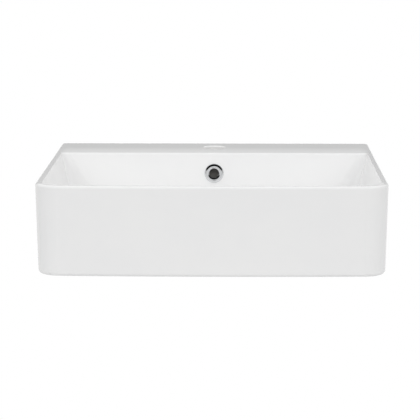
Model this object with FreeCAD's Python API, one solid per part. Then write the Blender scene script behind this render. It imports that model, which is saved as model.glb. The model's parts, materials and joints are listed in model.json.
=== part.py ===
import FreeCAD
import Part
import math
import os

# Wall-hung washbasin: a glazed ceramic casting with its overflow trim, push-open waste and wall fixings.
# Millimetres. +X is the user's right, +Y points into the wall and +Z is up.
# The origin lies on the wall, midway between the two wall fixings. A drop is a depth below the rim.

# Casting, outside
BASIN_WIDTH = 500.0
BASIN_DEPTH = 420.0
BASIN_HEIGHT = 130.0
SKIRT_DRAFT = 1.1
FRONT_CURVE_RADIUS = 6000.0
FRONT_CORNER_RADIUS = 35.0
REAR_CORNER_RADIUS = 8.0
RIM_EDGE_RADIUS = 4.0
FOOT_EDGE_RADIUS = 5.0

# Casting, bowl
RIM_WIDTH = 9.0
DECK_DEPTH = 94.0
BOWL_DEPTH = 82.0
BOWL_SIDE_SLOPE = 17.0
BOWL_FRONT_SLOPE = 20.0
BOWL_REAR_SLOPE = 14.0
BOWL_REAR_CORNER = 12.5
BOWL_FLOOR_CORNER = 42.0
BOWL_FLOOR_BLEND = 26.0
BOWL_EDGE_RADIUS = 4.5
FLOOR_FALL = 6.0
LAND_MARGIN = 4.0
LAND_STRAIGHT = 2.0
SEAT_RECESS = 4.0

# Casting, underside and back
CERAMIC_WALL = 10.0
BACK_WALL = 14.0
DECK_THICKNESS = 16.0
HOLLOW_DROP = 58.0
ACCESS_WIDTH = 180.0
ACCESS_DROP = 50.0
ACCESS_CORNER = 25.0

# Casting, holes
TAP_HOLE_RADIUS = 17.5
TAP_HOLE_SETBACK = 47.0
TAP_HOLE_EDGE = 2.0
DRAIN_HOLE_RADIUS = 22.5
DRAIN_BOSS_RADIUS = 42.0
OVERFLOW_DROP = 33.0
OVERFLOW_HOLE_RADIUS = 11.5
DUCT_WIDTH = 36.0
DUCT_REACH = 12.0
DUCT_PORT = 14.0
DUCT_ROOF = 8.0
DUCT_SKIN = 8.0
DUCT_CORNER = 12.0
BOSS_BASE = 10.0

# Overflow trim
TRIM_RADIUS = 15.0
TRIM_RISE = 3.2
TRIM_CREST_RADIUS = 10.6
TRIM_LIP_HEIGHT = 0.9
TRIM_EDGE = 0.5
TRIM_BORE_RADIUS = 7.0
TRIM_SLEEVE_LENGTH = 9.0
TRIM_SLEEVE_CLEARANCE = 0.7
GRIP_SECTION = 1.8
GRIP_CLEARANCE = 0.1

# Waste
FLANGE_RADIUS = 32.0
FLANGE_THICKNESS = 3.5
FLANGE_EDGE = 1.6
FLANGE_CLEARANCE = 1.5
FLANGE_SEAL_THICKNESS = 2.0
FLANGE_SEAL_INSET = 1.5
BARREL_CLEARANCE = 2.1
BARREL_BORE_RADIUS = 18.0
THREAD_RADIUS = 20.95
RING_CLEARANCE = 0.15
CONE_SEAL_RADIUS = 33.0
CONE_SEAL_THICKNESS = 6.0
CONE_NOSE_HEIGHT = 3.0
CONE_NOSE_CLEARANCE = 0.2
CONE_NOSE_TAPER = 0.8
SLIP_WASHER_RADIUS = 31.0
SLIP_WASHER_THICKNESS = 1.5
BACKNUT_FLATS = 54.0
BACKNUT_THICKNESS = 9.0
RELIEF_WIDTH = 1.5
RELIEF_DEPTH = 0.9
TAIL_LENGTH = 16.0
TAIL_CHAMFER = 1.0
SLOT_COUNT = 4
SLOT_WIDTH = 15.0
SLOT_MARGIN = 1.0
BRIDGE_ARMS = 3
BRIDGE_ARM_WIDTH = 4.0
BRIDGE_HEIGHT = 7.0
BRIDGE_HUB_RADIUS = 8.5

# Plug
PLUG_TRAVEL = 8.0
PLUG_RADIUS = 30.5
PLUG_RIM_THICKNESS = 2.2
PLUG_RIM_RADIUS = 1.3
PLUG_DOME = 3.2
PLUG_SEAT_WIDTH = 3.5
PLUG_SEAL_OVERLAP = 0.2
PLUG_SEAL_SECTION = 3.2
PLUG_SEAL_GAP = 0.3
PLUG_GROOVE_CLEARANCE = 0.05
PLUG_LIP_CLEARANCE = 0.5
PLUG_LIP_THICKNESS = 0.9
PLUG_BOSS_RADIUS = 6.5
PLUG_BOSS_HEIGHT = 5.0

# Click cartridge
STEM_THREAD_RADIUS = 3.0
STEM_THREAD_LENGTH = 6.5
STEM_RADIUS = 5.5
STEM_CLEARANCE = 0.3
COLLAR_THICKNESS = 2.8
STOP_GAP = 0.2
COVER_THICKNESS = 1.5
COVER_GAP = 1.0
CARTRIDGE_RADIUS = 9.5
CARTRIDGE_WALL = 1.1
COLLAR_CLEARANCE = 0.3
ROTOR_RADIUS = 4.1
ROTOR_CLEARANCE = 0.3
ROTOR_END = 1.6
ROTOR_HEAD_GAP = 0.7
ROTOR_POST_RADIUS = 2.0
POST_CLEARANCE = 0.1
CAM_PIN_RADIUS = 0.75
CAM_PIN_FIT = 0.02
CAM_PIN_REACH = 0.75
CAM_GROOVE_DEPTH = 1.2
CAM_GROOVE_CLEARANCE = 0.25
CAM_LEGS = 8
TUBE_END = 2.0
BASE_FLANGE = 2.0
BASE_PLUG = 3.0
BASE_FIT = 0.05
SPIGOT_RADIUS = 4.0
SPIGOT_CLEARANCE = 0.1
LOCKNUT_FLATS = 13.0
LOCKNUT_THICKNESS = 5.0
SPIGOT_END = 1.5
SPRING_RADIUS = 6.85
SPRING_WIRE_RADIUS = 0.55
SPRING_TURNS = 5
SPRING_SEAT = 0.05

# Wall fixings
FIXING_DROP = 65.0
FIXING_SPACING = 280.0
FIXING_HOLE_RADIUS = 10.0
STUD_RADIUS = 5.0
STUD_THREAD_RADIUS = 4.5
STUD_SHOULDER = 1.0
STUD_REACH = 60.0
STUD_POINT = 9.0
STUD_TIP_RADIUS = 1.2
STUD_END = 6.0
BUSH_CLEARANCE = 0.3
BUSH_SHORTFALL = 2.0
BUSH_FLANGE_RADIUS = 17.0
BUSH_FLANGE_THICKNESS = 4.0
BUSH_BORE_CLEARANCE = 0.3
WASHER_RADIUS = 13.0
WASHER_THICKNESS = 2.5
WASHER_CLEARANCE = 0.3
NUT_FLATS = 17.0
NUT_THICKNESS = 8.0
NUT_CLEARANCE = 0.05

# Allowance by which a cutting form runs past the face that it opens
OVERRUN = 2.0
TOUCH = 0.001


def tangent(degrees):
    return math.tan(math.radians(degrees))


def cosine(degrees):
    return math.cos(math.radians(degrees))


def at_drop(drop):
    """Height of a point that lies this far below the rim."""
    return FIXING_DROP - drop


def line(start, end):
    return Part.LineSegment(FreeCAD.Vector(*start), FreeCAD.Vector(*end)).toShape()


def arc(start, middle, end):
    return Part.Arc(FreeCAD.Vector(*start), FreeCAD.Vector(*middle), FreeCAD.Vector(*end)).toShape()


def outline(points, place):
    """Closed wire through 2-D points. A point tagged "via" is the middle of an arc to the next one."""
    edges = []
    start = points[0]
    middle = None
    for point in points[1:] + points[:1]:
        if point[0] == "via":
            middle = point[1:]
            continue
        if middle is None:
            edges.append(line(place(*start), place(*point)))
        else:
            edges.append(arc(place(*start), place(*middle), place(*point)))
        start = point
        middle = None
    return Part.Wire(edges)


def turned(points):
    """Solid of revolution about the Z axis from a closed outline of radius and height."""
    face = Part.Face(outline(points, lambda radius, height: (radius, 0.0, height)))
    return face.revolve(FreeCAD.Vector(), FreeCAD.Vector(0, 0, 1), 360.0)


def ring(outer, inner, bottom, top):
    return turned([(inner, bottom), (outer, bottom), (outer, top), (inner, top)])


def rod(radius, bottom, top):
    return Part.makeCylinder(radius, top - bottom, FreeCAD.Vector(0, 0, bottom))


def about_axis(shape, degrees):
    """Turns a shape about the Z axis."""
    return shape.rotated(FreeCAD.Vector(), FreeCAD.Vector(0, 0, 1), degrees)


def bar(width, side_points):
    """Prism across X, centred on X = 0, from an outline of Y and drop."""
    face = Part.Face(outline(side_points, lambda y, drop: (-width / 2, y, at_drop(drop))))
    return face.extrude(FreeCAD.Vector(width, 0, 0))


def level_bend(crest, end):
    """Middle of the arc that leaves a crest level and falls to an end, in radius and height."""
    reach = end[0] - crest[0]
    fall = crest[1] - end[1]
    radius = (reach**2 + fall**2) / (2 * fall)
    lean = math.atan2(fall, abs(reach))
    across = math.copysign(radius * math.sin(lean), reach)
    return "via", crest[0] + across, crest[1] - radius * (1 - math.cos(lean))


def hexagon_nut(flats, bore, thickness):
    """Hexagon nut standing on Z = 0 with its corners turned off at both faces."""
    corner = flats / 2 / cosine(30)
    angles = [math.radians(60 * step) for step in range(7)]
    prism = Part.Face(
        Part.makePolygon([FreeCAD.Vector(corner * math.cos(a), corner * math.sin(a), 0) for a in angles])
    ).extrude(FreeCAD.Vector(0, 0, thickness))
    slope = (corner - flats / 2) * tangent(30)
    turned_blank = turned(
        [
            (0, 0),
            (flats / 2, 0),
            (corner, slope),
            (corner, thickness - slope),
            (flats / 2, thickness),
            (0, thickness),
        ]
    )
    return prism.common(turned_blank).cut(rod(bore, -OVERRUN, thickness + OVERRUN))


def level_edges(shape, height):
    """Edges of a shape that lie flat at one height."""
    return [
        edge
        for edge in shape.Edges
        if abs(edge.BoundBox.ZMin - height) < TOUCH and abs(edge.BoundBox.ZMax - height) < TOUCH
    ]


def plan_outline(half_width, front_y, rear_y, front_radius, rear_radius, drop):
    """Rounded rectangle in plan whose front edge is bowed, at one drop below the rim."""
    z = at_drop(drop)
    bow_y = front_y + FRONT_CURVE_RADIUS
    corner_x = half_width - front_radius
    corner_y = bow_y - math.sqrt((FRONT_CURVE_RADIUS - front_radius) ** 2 - corner_x**2)
    reach = FRONT_CURVE_RADIUS / (FRONT_CURVE_RADIUS - front_radius)
    meet = (corner_x * reach, bow_y + (corner_y - bow_y) * reach)
    bisector = math.atan2(meet[1] - corner_y, meet[0] - corner_x) / 2
    front_mid = (corner_x + front_radius * math.cos(bisector), corner_y + front_radius * math.sin(bisector))
    rear_x = half_width - rear_radius
    rear_corner_y = rear_y - rear_radius
    rear_mid = (rear_x + rear_radius * cosine(45), rear_corner_y + rear_radius * cosine(45))
    right = [
        meet,
        ("via",) + front_mid,
        (half_width, corner_y),
        (half_width, rear_corner_y),
        ("via",) + rear_mid,
        (rear_x, rear_y),
    ]
    left = [
        (-rear_x, rear_y),
        ("via", -rear_mid[0], rear_mid[1]),
        (-half_width, rear_corner_y),
        (-half_width, corner_y),
        ("via", -front_mid[0], front_mid[1]),
        (-meet[0], meet[1]),
        ("via", 0.0, front_y),
    ]
    return outline(right + left, lambda x, y: (x, y, z))


def skirt_section(drop, inset, rear_y):
    """Plan of the drafted outside at one drop, moved inwards by inset."""
    lean = drop * tangent(SKIRT_DRAFT) + inset
    return plan_outline(
        BASIN_WIDTH / 2 - lean,
        -BASIN_DEPTH + lean,
        rear_y,
        FRONT_CORNER_RADIUS - lean,
        REAR_CORNER_RADIUS,
        drop,
    )


def bowl_rear_y(drop, growth=0.0):
    """Y of the bowl's back wall at one drop, moved outwards square to the wall by growth."""
    return -DECK_DEPTH - drop * tangent(BOWL_REAR_SLOPE) + growth / cosine(BOWL_REAR_SLOPE)


def bowl_front_y(drop, growth=0.0):
    return RIM_WIDTH - BASIN_DEPTH + drop * tangent(BOWL_FRONT_SLOPE) - growth / cosine(BOWL_FRONT_SLOPE)


def bowl_half_width(drop, growth=0.0):
    return BASIN_WIDTH / 2 - RIM_WIDTH - drop * tangent(BOWL_SIDE_SLOPE) + growth / cosine(BOWL_SIDE_SLOPE)


def bowl_section(drop, growth):
    """Plan of the bowl at one drop: its corners open out towards the floor."""
    share = drop / BOWL_DEPTH
    top_front_corner = FRONT_CORNER_RADIUS - RIM_WIDTH
    return plan_outline(
        bowl_half_width(drop, growth),
        bowl_front_y(drop, growth),
        bowl_rear_y(drop, growth),
        top_front_corner + (BOWL_FLOOR_CORNER - top_front_corner) * share + growth,
        BOWL_REAR_CORNER + (BOWL_FLOOR_CORNER - BOWL_REAR_CORNER) * share + growth,
        drop,
    )


# Places that several pieces share
DRAIN_Y = (bowl_front_y(BOWL_DEPTH) + bowl_rear_y(BOWL_DEPTH)) / 2
SEAT_DROP = BOWL_DEPTH + FLOOR_FALL + SEAT_RECESS
PORT_TOP_DROP = SEAT_DROP + DUCT_ROOF
PORT_BASE_DROP = PORT_TOP_DROP + DUCT_PORT
BOSS_DROP = PORT_BASE_DROP + BOSS_BASE
RECESS_RADIUS = FLANGE_RADIUS + FLANGE_CLEARANCE
BARREL_RADIUS = DRAIN_HOLE_RADIUS - BARREL_CLEARANCE
FLANGE_UNDERSIDE = at_drop(SEAT_DROP) + FLANGE_SEAL_THICKNESS
FLANGE_TOP = FLANGE_UNDERSIDE + FLANGE_THICKNESS
BOSS_UNDERSIDE = at_drop(BOSS_DROP)
SLIP_WASHER_TOP = BOSS_UNDERSIDE - CONE_SEAL_THICKNESS
BACKNUT_TOP = SLIP_WASHER_TOP - SLIP_WASHER_THICKNESS
BACKNUT_BASE = BACKNUT_TOP - BACKNUT_THICKNESS
TAIL_TOP = BACKNUT_BASE - RELIEF_WIDTH
TAIL_END = TAIL_TOP - TAIL_LENGTH
RING_BORE_RADIUS = THREAD_RADIUS + RING_CLEARANCE
PLUG_SEAL_RADIUS = BARREL_BORE_RADIUS + PLUG_SEAL_OVERLAP

# Plug heights with the plug up, which is how it rests. The seal stops a gap short of the 45 degree cone.
PLUG_SEAL_HEIGHT = (
    FLANGE_TOP
    - (PLUG_SEAT_WIDTH - PLUG_SEAL_OVERLAP)
    + (PLUG_SEAL_SECTION / 2 + PLUG_SEAL_GAP) * math.sqrt(2)
    + PLUG_TRAVEL
)
PLUG_GROOVE_HALF = PLUG_SEAL_SECTION / 2 + PLUG_GROOVE_CLEARANCE
PLUG_UNDERSIDE = PLUG_SEAL_HEIGHT + PLUG_GROOVE_HALF
PLUG_LIP_TOP = PLUG_SEAL_HEIGHT - PLUG_GROOVE_HALF
PLUG_LIP_BASE = PLUG_LIP_TOP - PLUG_LIP_THICKNESS
PLUG_SHOULDER = PLUG_LIP_BASE - PLUG_BOSS_HEIGHT

# Cartridge heights, from its cover down
COVER_TOP = PLUG_SHOULDER - PLUG_TRAVEL - COVER_GAP
COVER_BASE = COVER_TOP - COVER_THICKNESS
COLLAR_TOP = COVER_BASE - STOP_GAP
COLLAR_BASE = COLLAR_TOP - COLLAR_THICKNESS
ROTOR_TOP = COLLAR_BASE - PLUG_TRAVEL - ROTOR_HEAD_GAP
CAM_TOP = ROTOR_TOP - ROTOR_END - CAM_PIN_RADIUS
CAM_BASE = CAM_TOP - PLUG_TRAVEL
TUBE_BASE = CAM_TOP - TUBE_END
BASE_PLUG_TOP = TUBE_BASE - PLUG_TRAVEL - ROTOR_HEAD_GAP
BASE_FLANGE_TOP = BASE_PLUG_TOP - BASE_PLUG
BRIDGE_TOP = BASE_FLANGE_TOP - BASE_FLANGE
BRIDGE_BASE = BRIDGE_TOP - BRIDGE_HEIGHT
LOCKNUT_BASE = BRIDGE_BASE - LOCKNUT_THICKNESS
CARTRIDGE_BORE_RADIUS = CARTRIDGE_RADIUS - CARTRIDGE_WALL
TUBE_BORE_RADIUS = ROTOR_RADIUS + ROTOR_CLEARANCE
CAM_STEP = 360.0 / CAM_LEGS


def at_drain(shape):
    """Moves a piece made on the Z axis to the drain's axis."""
    return shape.translated(FreeCAD.Vector(0, DRAIN_Y, 0))


def at_overflow(shape):
    """Stands a piece made on the Z axis on the bowl's back wall, pointing into the bowl."""
    tilted = shape.rotated(FreeCAD.Vector(), FreeCAD.Vector(1, 0, 0), 90.0 - BOWL_REAR_SLOPE)
    return tilted.translated(FreeCAD.Vector(0, bowl_rear_y(OVERFLOW_DROP), at_drop(OVERFLOW_DROP)))


def at_fixings(shape):
    """Copies a piece made on the Z axis to both wall fixings, its +Z end into the wall."""
    laid = shape.rotated(FreeCAD.Vector(), FreeCAD.Vector(1, 0, 0), -90.0)
    half = FIXING_SPACING / 2
    return [laid.translated(FreeCAD.Vector(side * half, 0, 0)) for side in (-1, 1)]


def bowl_form(growth):
    """The bowl's inside as a solid, grown outwards all round by growth for the wall's far side."""
    rim_depth = BOWL_DEPTH + growth
    land_half = RECESS_RADIUS + LAND_MARGIN + growth
    land = plan_outline(
        land_half,
        DRAIN_Y - land_half,
        DRAIN_Y + land_half,
        land_half - LAND_STRAIGHT,
        land_half - LAND_STRAIGHT,
        rim_depth + FLOOR_FALL,
    )
    sections = [bowl_section(-OVERRUN, growth), bowl_section(rim_depth, growth), land]
    form = Part.makeLoft(sections, True, True)
    return form.makeFillet(BOWL_FLOOR_BLEND + growth, level_edges(form, at_drop(rim_depth)))


def duct_profile(near, far, top_drop, roof_drop, base_drop):
    """Side outline of the overflow duct, between two offsets from the bowl's back wall."""
    return [
        (bowl_rear_y(top_drop, near), top_drop),
        (bowl_rear_y(roof_drop, near), roof_drop),
        (DRAIN_Y, roof_drop),
        (DRAIN_Y, base_drop),
        (bowl_rear_y(base_drop, far), base_drop),
        (bowl_rear_y(top_drop, far), top_drop),
    ]


def duct_space():
    """Water way from the overflow hole down behind the bowl and forward to the drain."""
    top_drop = OVERFLOW_DROP - OVERFLOW_HOLE_RADIUS - OVERRUN
    far = CERAMIC_WALL + DUCT_REACH
    return bar(DUCT_WIDTH, duct_profile(CERAMIC_WALL, far, top_drop, PORT_TOP_DROP, PORT_BASE_DROP))


def duct_casing():
    """Outside of the duct: a rounded rib down the back of the bowl and along under its floor."""
    top_drop = OVERFLOW_DROP - OVERFLOW_HOLE_RADIUS - OVERRUN - DUCT_SKIN
    far = CERAMIC_WALL + DUCT_REACH + DUCT_SKIN
    casing = bar(DUCT_WIDTH + 2 * DUCT_SKIN, duct_profile(0.0, far, top_drop, BOWL_DEPTH, BOSS_DROP))
    rear_edges = [edge for edge in casing.Edges if edge.BoundBox.YMin > bowl_rear_y(BOSS_DROP, far) - TOUCH]
    return casing.makeFillet(DUCT_CORNER, rear_edges)


def underside_hollow():
    """Open space under the deck and between the skirt and the bowl."""
    foot_drop = BASIN_HEIGHT + OVERRUN
    sections = [skirt_section(drop, CERAMIC_WALL, -BACK_WALL) for drop in (foot_drop, HOLLOW_DROP)]
    low = Part.makeLoft(sections, True, True)
    half_width = BASIN_WIDTH / 2 - BASIN_HEIGHT * tangent(SKIRT_DRAFT) - CERAMIC_WALL
    front_y = bowl_rear_y(HOLLOW_DROP)
    rear = Part.makeBox(
        2 * half_width,
        -BACK_WALL - front_y,
        foot_drop - DECK_THICKNESS,
        FreeCAD.Vector(-half_width, front_y, at_drop(foot_drop)),
    )
    boss = at_drain(rod(DRAIN_BOSS_RADIUS, BOSS_UNDERSIDE, at_drop(BOWL_DEPTH)))
    return low.fuse(rear).cut(bowl_form(CERAMIC_WALL)).cut(duct_casing()).cut(boss)


def tap_hole():
    """Cutting form of the tap hole, flared by its rounded upper edge."""
    top = at_drop(0)
    bend = TAP_HOLE_EDGE * (1 - cosine(45))
    form = turned(
        [
            (0, top - DECK_THICKNESS - OVERRUN),
            (TAP_HOLE_RADIUS, top - DECK_THICKNESS - OVERRUN),
            (TAP_HOLE_RADIUS, top - TAP_HOLE_EDGE),
            ("via", TAP_HOLE_RADIUS + bend, top - bend),
            (TAP_HOLE_RADIUS + TAP_HOLE_EDGE, top),
            (TAP_HOLE_RADIUS + TAP_HOLE_EDGE, top + OVERRUN),
            (0, top + OVERRUN),
        ]
    )
    return form.translated(FreeCAD.Vector(0, -TAP_HOLE_SETBACK, 0))


def access_opening():
    """Arched opening in the back wall that a hand reaches the tap's nut through."""
    half = ACCESS_WIDTH / 2
    bend = ACCESS_CORNER * (1 - cosine(45))
    top = at_drop(ACCESS_DROP)
    foot = at_drop(BASIN_HEIGHT + OVERRUN)
    points = [
        (-half, foot),
        (half, foot),
        (half, top - ACCESS_CORNER),
        ("via", half - bend, top - bend),
        (half - ACCESS_CORNER, top),
        (ACCESS_CORNER - half, top),
        ("via", bend - half, top - bend),
        (-half, top - ACCESS_CORNER),
    ]
    face = Part.Face(outline(points, lambda x, z: (x, -BACK_WALL - OVERRUN, z)))
    return face.extrude(FreeCAD.Vector(0, BACK_WALL + 2 * OVERRUN, 0))


def basin_body():
    block = Part.makeLoft([skirt_section(BASIN_HEIGHT, 0.0, 0.0), skirt_section(0.0, 0.0, 0.0)], True, True)
    block = block.makeFillet(FOOT_EDGE_RADIUS, level_edges(block, at_drop(BASIN_HEIGHT)))
    block = block.makeFillet(RIM_EDGE_RADIUS, level_edges(block, at_drop(0)))
    bowled = block.cut(bowl_form(0.0))
    mouth = [edge for edge in level_edges(bowled, at_drop(0)) if on_bowl_mouth(edge)]
    body = bowled.makeFillet(BOWL_EDGE_RADIUS, mouth).cut(underside_hollow())
    openings = [
        at_drain(rod(RECESS_RADIUS, at_drop(SEAT_DROP), at_drop(BOWL_DEPTH))),
        at_drain(rod(DRAIN_HOLE_RADIUS, BOSS_UNDERSIDE - OVERRUN, at_drop(BOWL_DEPTH))),
        duct_space(),
        at_overflow(rod(OVERFLOW_HOLE_RADIUS, -CERAMIC_WALL - OVERRUN, OVERRUN)),
        tap_hole(),
        access_opening(),
    ]
    openings += at_fixings(rod(FIXING_HOLE_RADIUS, -BACK_WALL - OVERRUN, OVERRUN))
    for opening in openings:
        body = body.cut(opening)
    return body


def on_bowl_mouth(edge):
    """True for a rim edge that borders the bowl rather than the outside."""
    middle = edge.BoundBox.Center
    inside_width = abs(middle.x) < bowl_half_width(0.0) + TOUCH
    return inside_width and bowl_front_y(0.0) - TOUCH < middle.y < bowl_rear_y(0.0) + TOUCH


def overflow_ring():
    """Domed trim ring with a sleeve that enters the ceramic, made with its seat at Z = 0."""
    sleeve = OVERFLOW_HOLE_RADIUS - TRIM_SLEEVE_CLEARANCE
    crest = (TRIM_CREST_RADIUS, TRIM_RISE)
    outer_edge = (TRIM_RADIUS, TRIM_EDGE)
    inner_lip = (TRIM_BORE_RADIUS, TRIM_LIP_HEIGHT)
    form = turned(
        [
            (TRIM_BORE_RADIUS, -TRIM_SLEEVE_LENGTH),
            (sleeve, -TRIM_SLEEVE_LENGTH),
            (sleeve, 0),
            (TRIM_RADIUS, 0),
            outer_edge,
            level_bend(crest, outer_edge),
            crest,
            level_bend(crest, inner_lip),
            inner_lip,
        ]
    )
    groove = GRIP_SECTION / 2 + GRIP_CLEARANCE
    seat = ring(sleeve + OVERRUN, grip_radius() - groove, grip_height() - groove, grip_height() + groove)
    return at_overflow(form.cut(seat))


def grip_radius():
    """Middle radius of the grip ring, which all but fills the ceramic hole."""
    return OVERFLOW_HOLE_RADIUS - GRIP_CLEARANCE - GRIP_SECTION / 2


def grip_height():
    return -TRIM_SLEEVE_LENGTH / 2


def overflow_grip():
    torus = Part.makeTorus(grip_radius(), GRIP_SECTION / 2, FreeCAD.Vector(0, 0, grip_height()))
    return at_overflow(torus)


def waste_body():
    """Flanged barrel with overflow slots, a plug seat, a threaded tail and a three-arm bridge."""
    bend = FLANGE_EDGE * (1 - cosine(45))
    thread_top = BOSS_UNDERSIDE - CONE_SEAL_THICKNESS / 2
    shell = turned(
        [
            (BARREL_BORE_RADIUS, TAIL_END),
            (THREAD_RADIUS - TAIL_CHAMFER, TAIL_END),
            (THREAD_RADIUS, TAIL_END + TAIL_CHAMFER),
            (THREAD_RADIUS, TAIL_TOP),
            (THREAD_RADIUS - RELIEF_DEPTH, TAIL_TOP),
            (THREAD_RADIUS - RELIEF_DEPTH, BACKNUT_BASE),
            (THREAD_RADIUS, BACKNUT_BASE),
            (THREAD_RADIUS, thread_top),
            (BARREL_RADIUS, thread_top),
            (BARREL_RADIUS, FLANGE_UNDERSIDE),
            (FLANGE_RADIUS, FLANGE_UNDERSIDE),
            (FLANGE_RADIUS, FLANGE_TOP - FLANGE_EDGE),
            ("via", FLANGE_RADIUS - bend, FLANGE_TOP - bend),
            (FLANGE_RADIUS - FLANGE_EDGE, FLANGE_TOP),
            (BARREL_BORE_RADIUS + PLUG_SEAT_WIDTH, FLANGE_TOP),
            (BARREL_BORE_RADIUS, FLANGE_TOP - PLUG_SEAT_WIDTH),
        ]
    )
    slot_top = at_drop(PORT_TOP_DROP) - SLOT_MARGIN
    slot_base = at_drop(PORT_BASE_DROP) + SLOT_MARGIN
    slot = Part.makeBox(
        THREAD_RADIUS,
        SLOT_WIDTH,
        slot_top - slot_base,
        FreeCAD.Vector((BARREL_BORE_RADIUS + CARTRIDGE_RADIUS) / 2, -SLOT_WIDTH / 2, slot_base),
    )
    for step in range(SLOT_COUNT):
        shell = shell.cut(about_axis(slot, step * 360.0 / SLOT_COUNT))
    arm_reach = (BARREL_BORE_RADIUS + THREAD_RADIUS - RELIEF_DEPTH) / 2
    arm = Part.makeBox(
        arm_reach, BRIDGE_ARM_WIDTH, BRIDGE_HEIGHT, FreeCAD.Vector(0, -BRIDGE_ARM_WIDTH / 2, BRIDGE_BASE)
    )
    bridge = rod(BRIDGE_HUB_RADIUS, BRIDGE_BASE, BRIDGE_TOP)
    for step in range(BRIDGE_ARMS):
        bridge = bridge.fuse(about_axis(arm, step * 360.0 / BRIDGE_ARMS))
    bridge = bridge.cut(rod(SPIGOT_RADIUS + SPIGOT_CLEARANCE, BRIDGE_BASE - OVERRUN, BRIDGE_TOP + OVERRUN))
    return at_drain(shell.fuse(bridge).removeSplitter())


def waste_flange_seal():
    outer = FLANGE_RADIUS - FLANGE_SEAL_INSET
    return at_drain(ring(outer, BARREL_RADIUS + RING_CLEARANCE, at_drop(SEAT_DROP), FLANGE_UNDERSIDE))


def waste_cone_seal():
    """Flat rubber ring whose tapered nose enters the drain hole from below."""
    nose = DRAIN_HOLE_RADIUS - CONE_NOSE_CLEARANCE
    return at_drain(
        turned(
            [
                (RING_BORE_RADIUS, SLIP_WASHER_TOP),
                (CONE_SEAL_RADIUS, SLIP_WASHER_TOP),
                (CONE_SEAL_RADIUS, BOSS_UNDERSIDE),
                (nose, BOSS_UNDERSIDE),
                (nose - CONE_NOSE_TAPER, BOSS_UNDERSIDE + CONE_NOSE_HEIGHT),
                (RING_BORE_RADIUS, BOSS_UNDERSIDE + CONE_NOSE_HEIGHT),
            ]
        )
    )


def waste_slip_washer():
    return at_drain(ring(SLIP_WASHER_RADIUS, RING_BORE_RADIUS, BACKNUT_TOP, SLIP_WASHER_TOP))


def waste_backnut():
    nut = hexagon_nut(BACKNUT_FLATS, RING_BORE_RADIUS, BACKNUT_THICKNESS)
    return at_drain(nut.translated(FreeCAD.Vector(0, 0, BACKNUT_BASE)))


def plug_cap():
    """Shallow dome with a sealing groove below it and a threaded boss on its axis."""
    rim_top = PLUG_UNDERSIDE + PLUG_RIM_THICKNESS
    bend = PLUG_RIM_RADIUS * (1 - cosine(45))
    shoulder = (PLUG_RADIUS - PLUG_RIM_RADIUS, rim_top)
    dome_top = (0, rim_top + PLUG_DOME)
    groove = PLUG_SEAL_RADIUS - PLUG_GROOVE_HALF
    lip = BARREL_BORE_RADIUS - PLUG_LIP_CLEARANCE
    thread = STEM_THREAD_RADIUS + NUT_CLEARANCE
    thread_end = PLUG_SHOULDER + STEM_THREAD_LENGTH
    return at_drain(
        turned(
            [
                (0, thread_end),
                (thread, thread_end),
                (thread, PLUG_SHOULDER),
                (PLUG_BOSS_RADIUS, PLUG_SHOULDER),
                (PLUG_BOSS_RADIUS, PLUG_LIP_BASE),
                (lip, PLUG_LIP_BASE),
                (lip, PLUG_LIP_TOP),
                (groove, PLUG_LIP_TOP),
                (groove, PLUG_UNDERSIDE),
                (PLUG_RADIUS, PLUG_UNDERSIDE),
                (PLUG_RADIUS, rim_top - PLUG_RIM_RADIUS),
                ("via", PLUG_RADIUS - bend, rim_top - bend),
                shoulder,
                level_bend(dome_top, shoulder),
                dome_top,
            ]
        )
    )


def plug_seal():
    torus = Part.makeTorus(PLUG_SEAL_RADIUS, PLUG_SEAL_SECTION / 2, FreeCAD.Vector(0, 0, PLUG_SEAL_HEIGHT))
    return at_drain(torus)


def cam_pin_hole(radius):
    """Cross form of the follower pin, on the side that faces the user's right."""
    tip = FreeCAD.Vector(ROTOR_RADIUS - CAM_PIN_REACH, 0, CAM_TOP)
    return Part.makeCylinder(radius, STEM_RADIUS - tip.x, tip, FreeCAD.Vector(1, 0, 0))


def plug_plunger():
    """Stem with a threaded end for the cap, a stop collar and a tube that straddles the rotor."""
    collar = CARTRIDGE_BORE_RADIUS - COLLAR_CLEARANCE
    stem = turned(
        [
            (0, COLLAR_BASE),
            (TUBE_BORE_RADIUS, COLLAR_BASE),
            (TUBE_BORE_RADIUS, TUBE_BASE),
            (STEM_RADIUS, TUBE_BASE),
            (STEM_RADIUS, COLLAR_BASE),
            (collar, COLLAR_BASE),
            (collar, COLLAR_TOP),
            (STEM_RADIUS, COLLAR_TOP),
            (STEM_RADIUS, PLUG_SHOULDER),
            (STEM_THREAD_RADIUS, PLUG_SHOULDER),
            (STEM_THREAD_RADIUS, PLUG_SHOULDER + STEM_THREAD_LENGTH - STOP_GAP),
            (0, PLUG_SHOULDER + STEM_THREAD_LENGTH - STOP_GAP),
        ]
    )
    return at_drain(stem.cut(cam_pin_hole(CAM_PIN_RADIUS + CAM_PIN_FIT)))


def cam_pin():
    return at_drain(cam_pin_hole(CAM_PIN_RADIUS))


def cam_leg(lean_side):
    """One straight leg of the zigzag, standing at zero angle about mid-stroke and leaning to one side."""
    half = CAM_PIN_RADIUS + CAM_GROOVE_CLEARANCE
    span = 2 * (ROTOR_RADIUS - CAM_PIN_REACH / 2) * math.sin(math.radians(CAM_STEP / 2))
    length = math.hypot(span, PLUG_TRAVEL)
    lean = math.degrees(math.atan2(span, PLUG_TRAVEL))
    corner = FreeCAD.Vector(ROTOR_RADIUS - CAM_GROOVE_DEPTH, -half, -length / 2)
    leg = Part.makeBox(2 * CAM_GROOVE_DEPTH, 2 * half, length, corner)
    leg = leg.rotated(FreeCAD.Vector(), FreeCAD.Vector(1, 0, 0), lean_side * lean)
    return leg.translated(FreeCAD.Vector(0, 0, (CAM_TOP + CAM_BASE) / 2))


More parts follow.
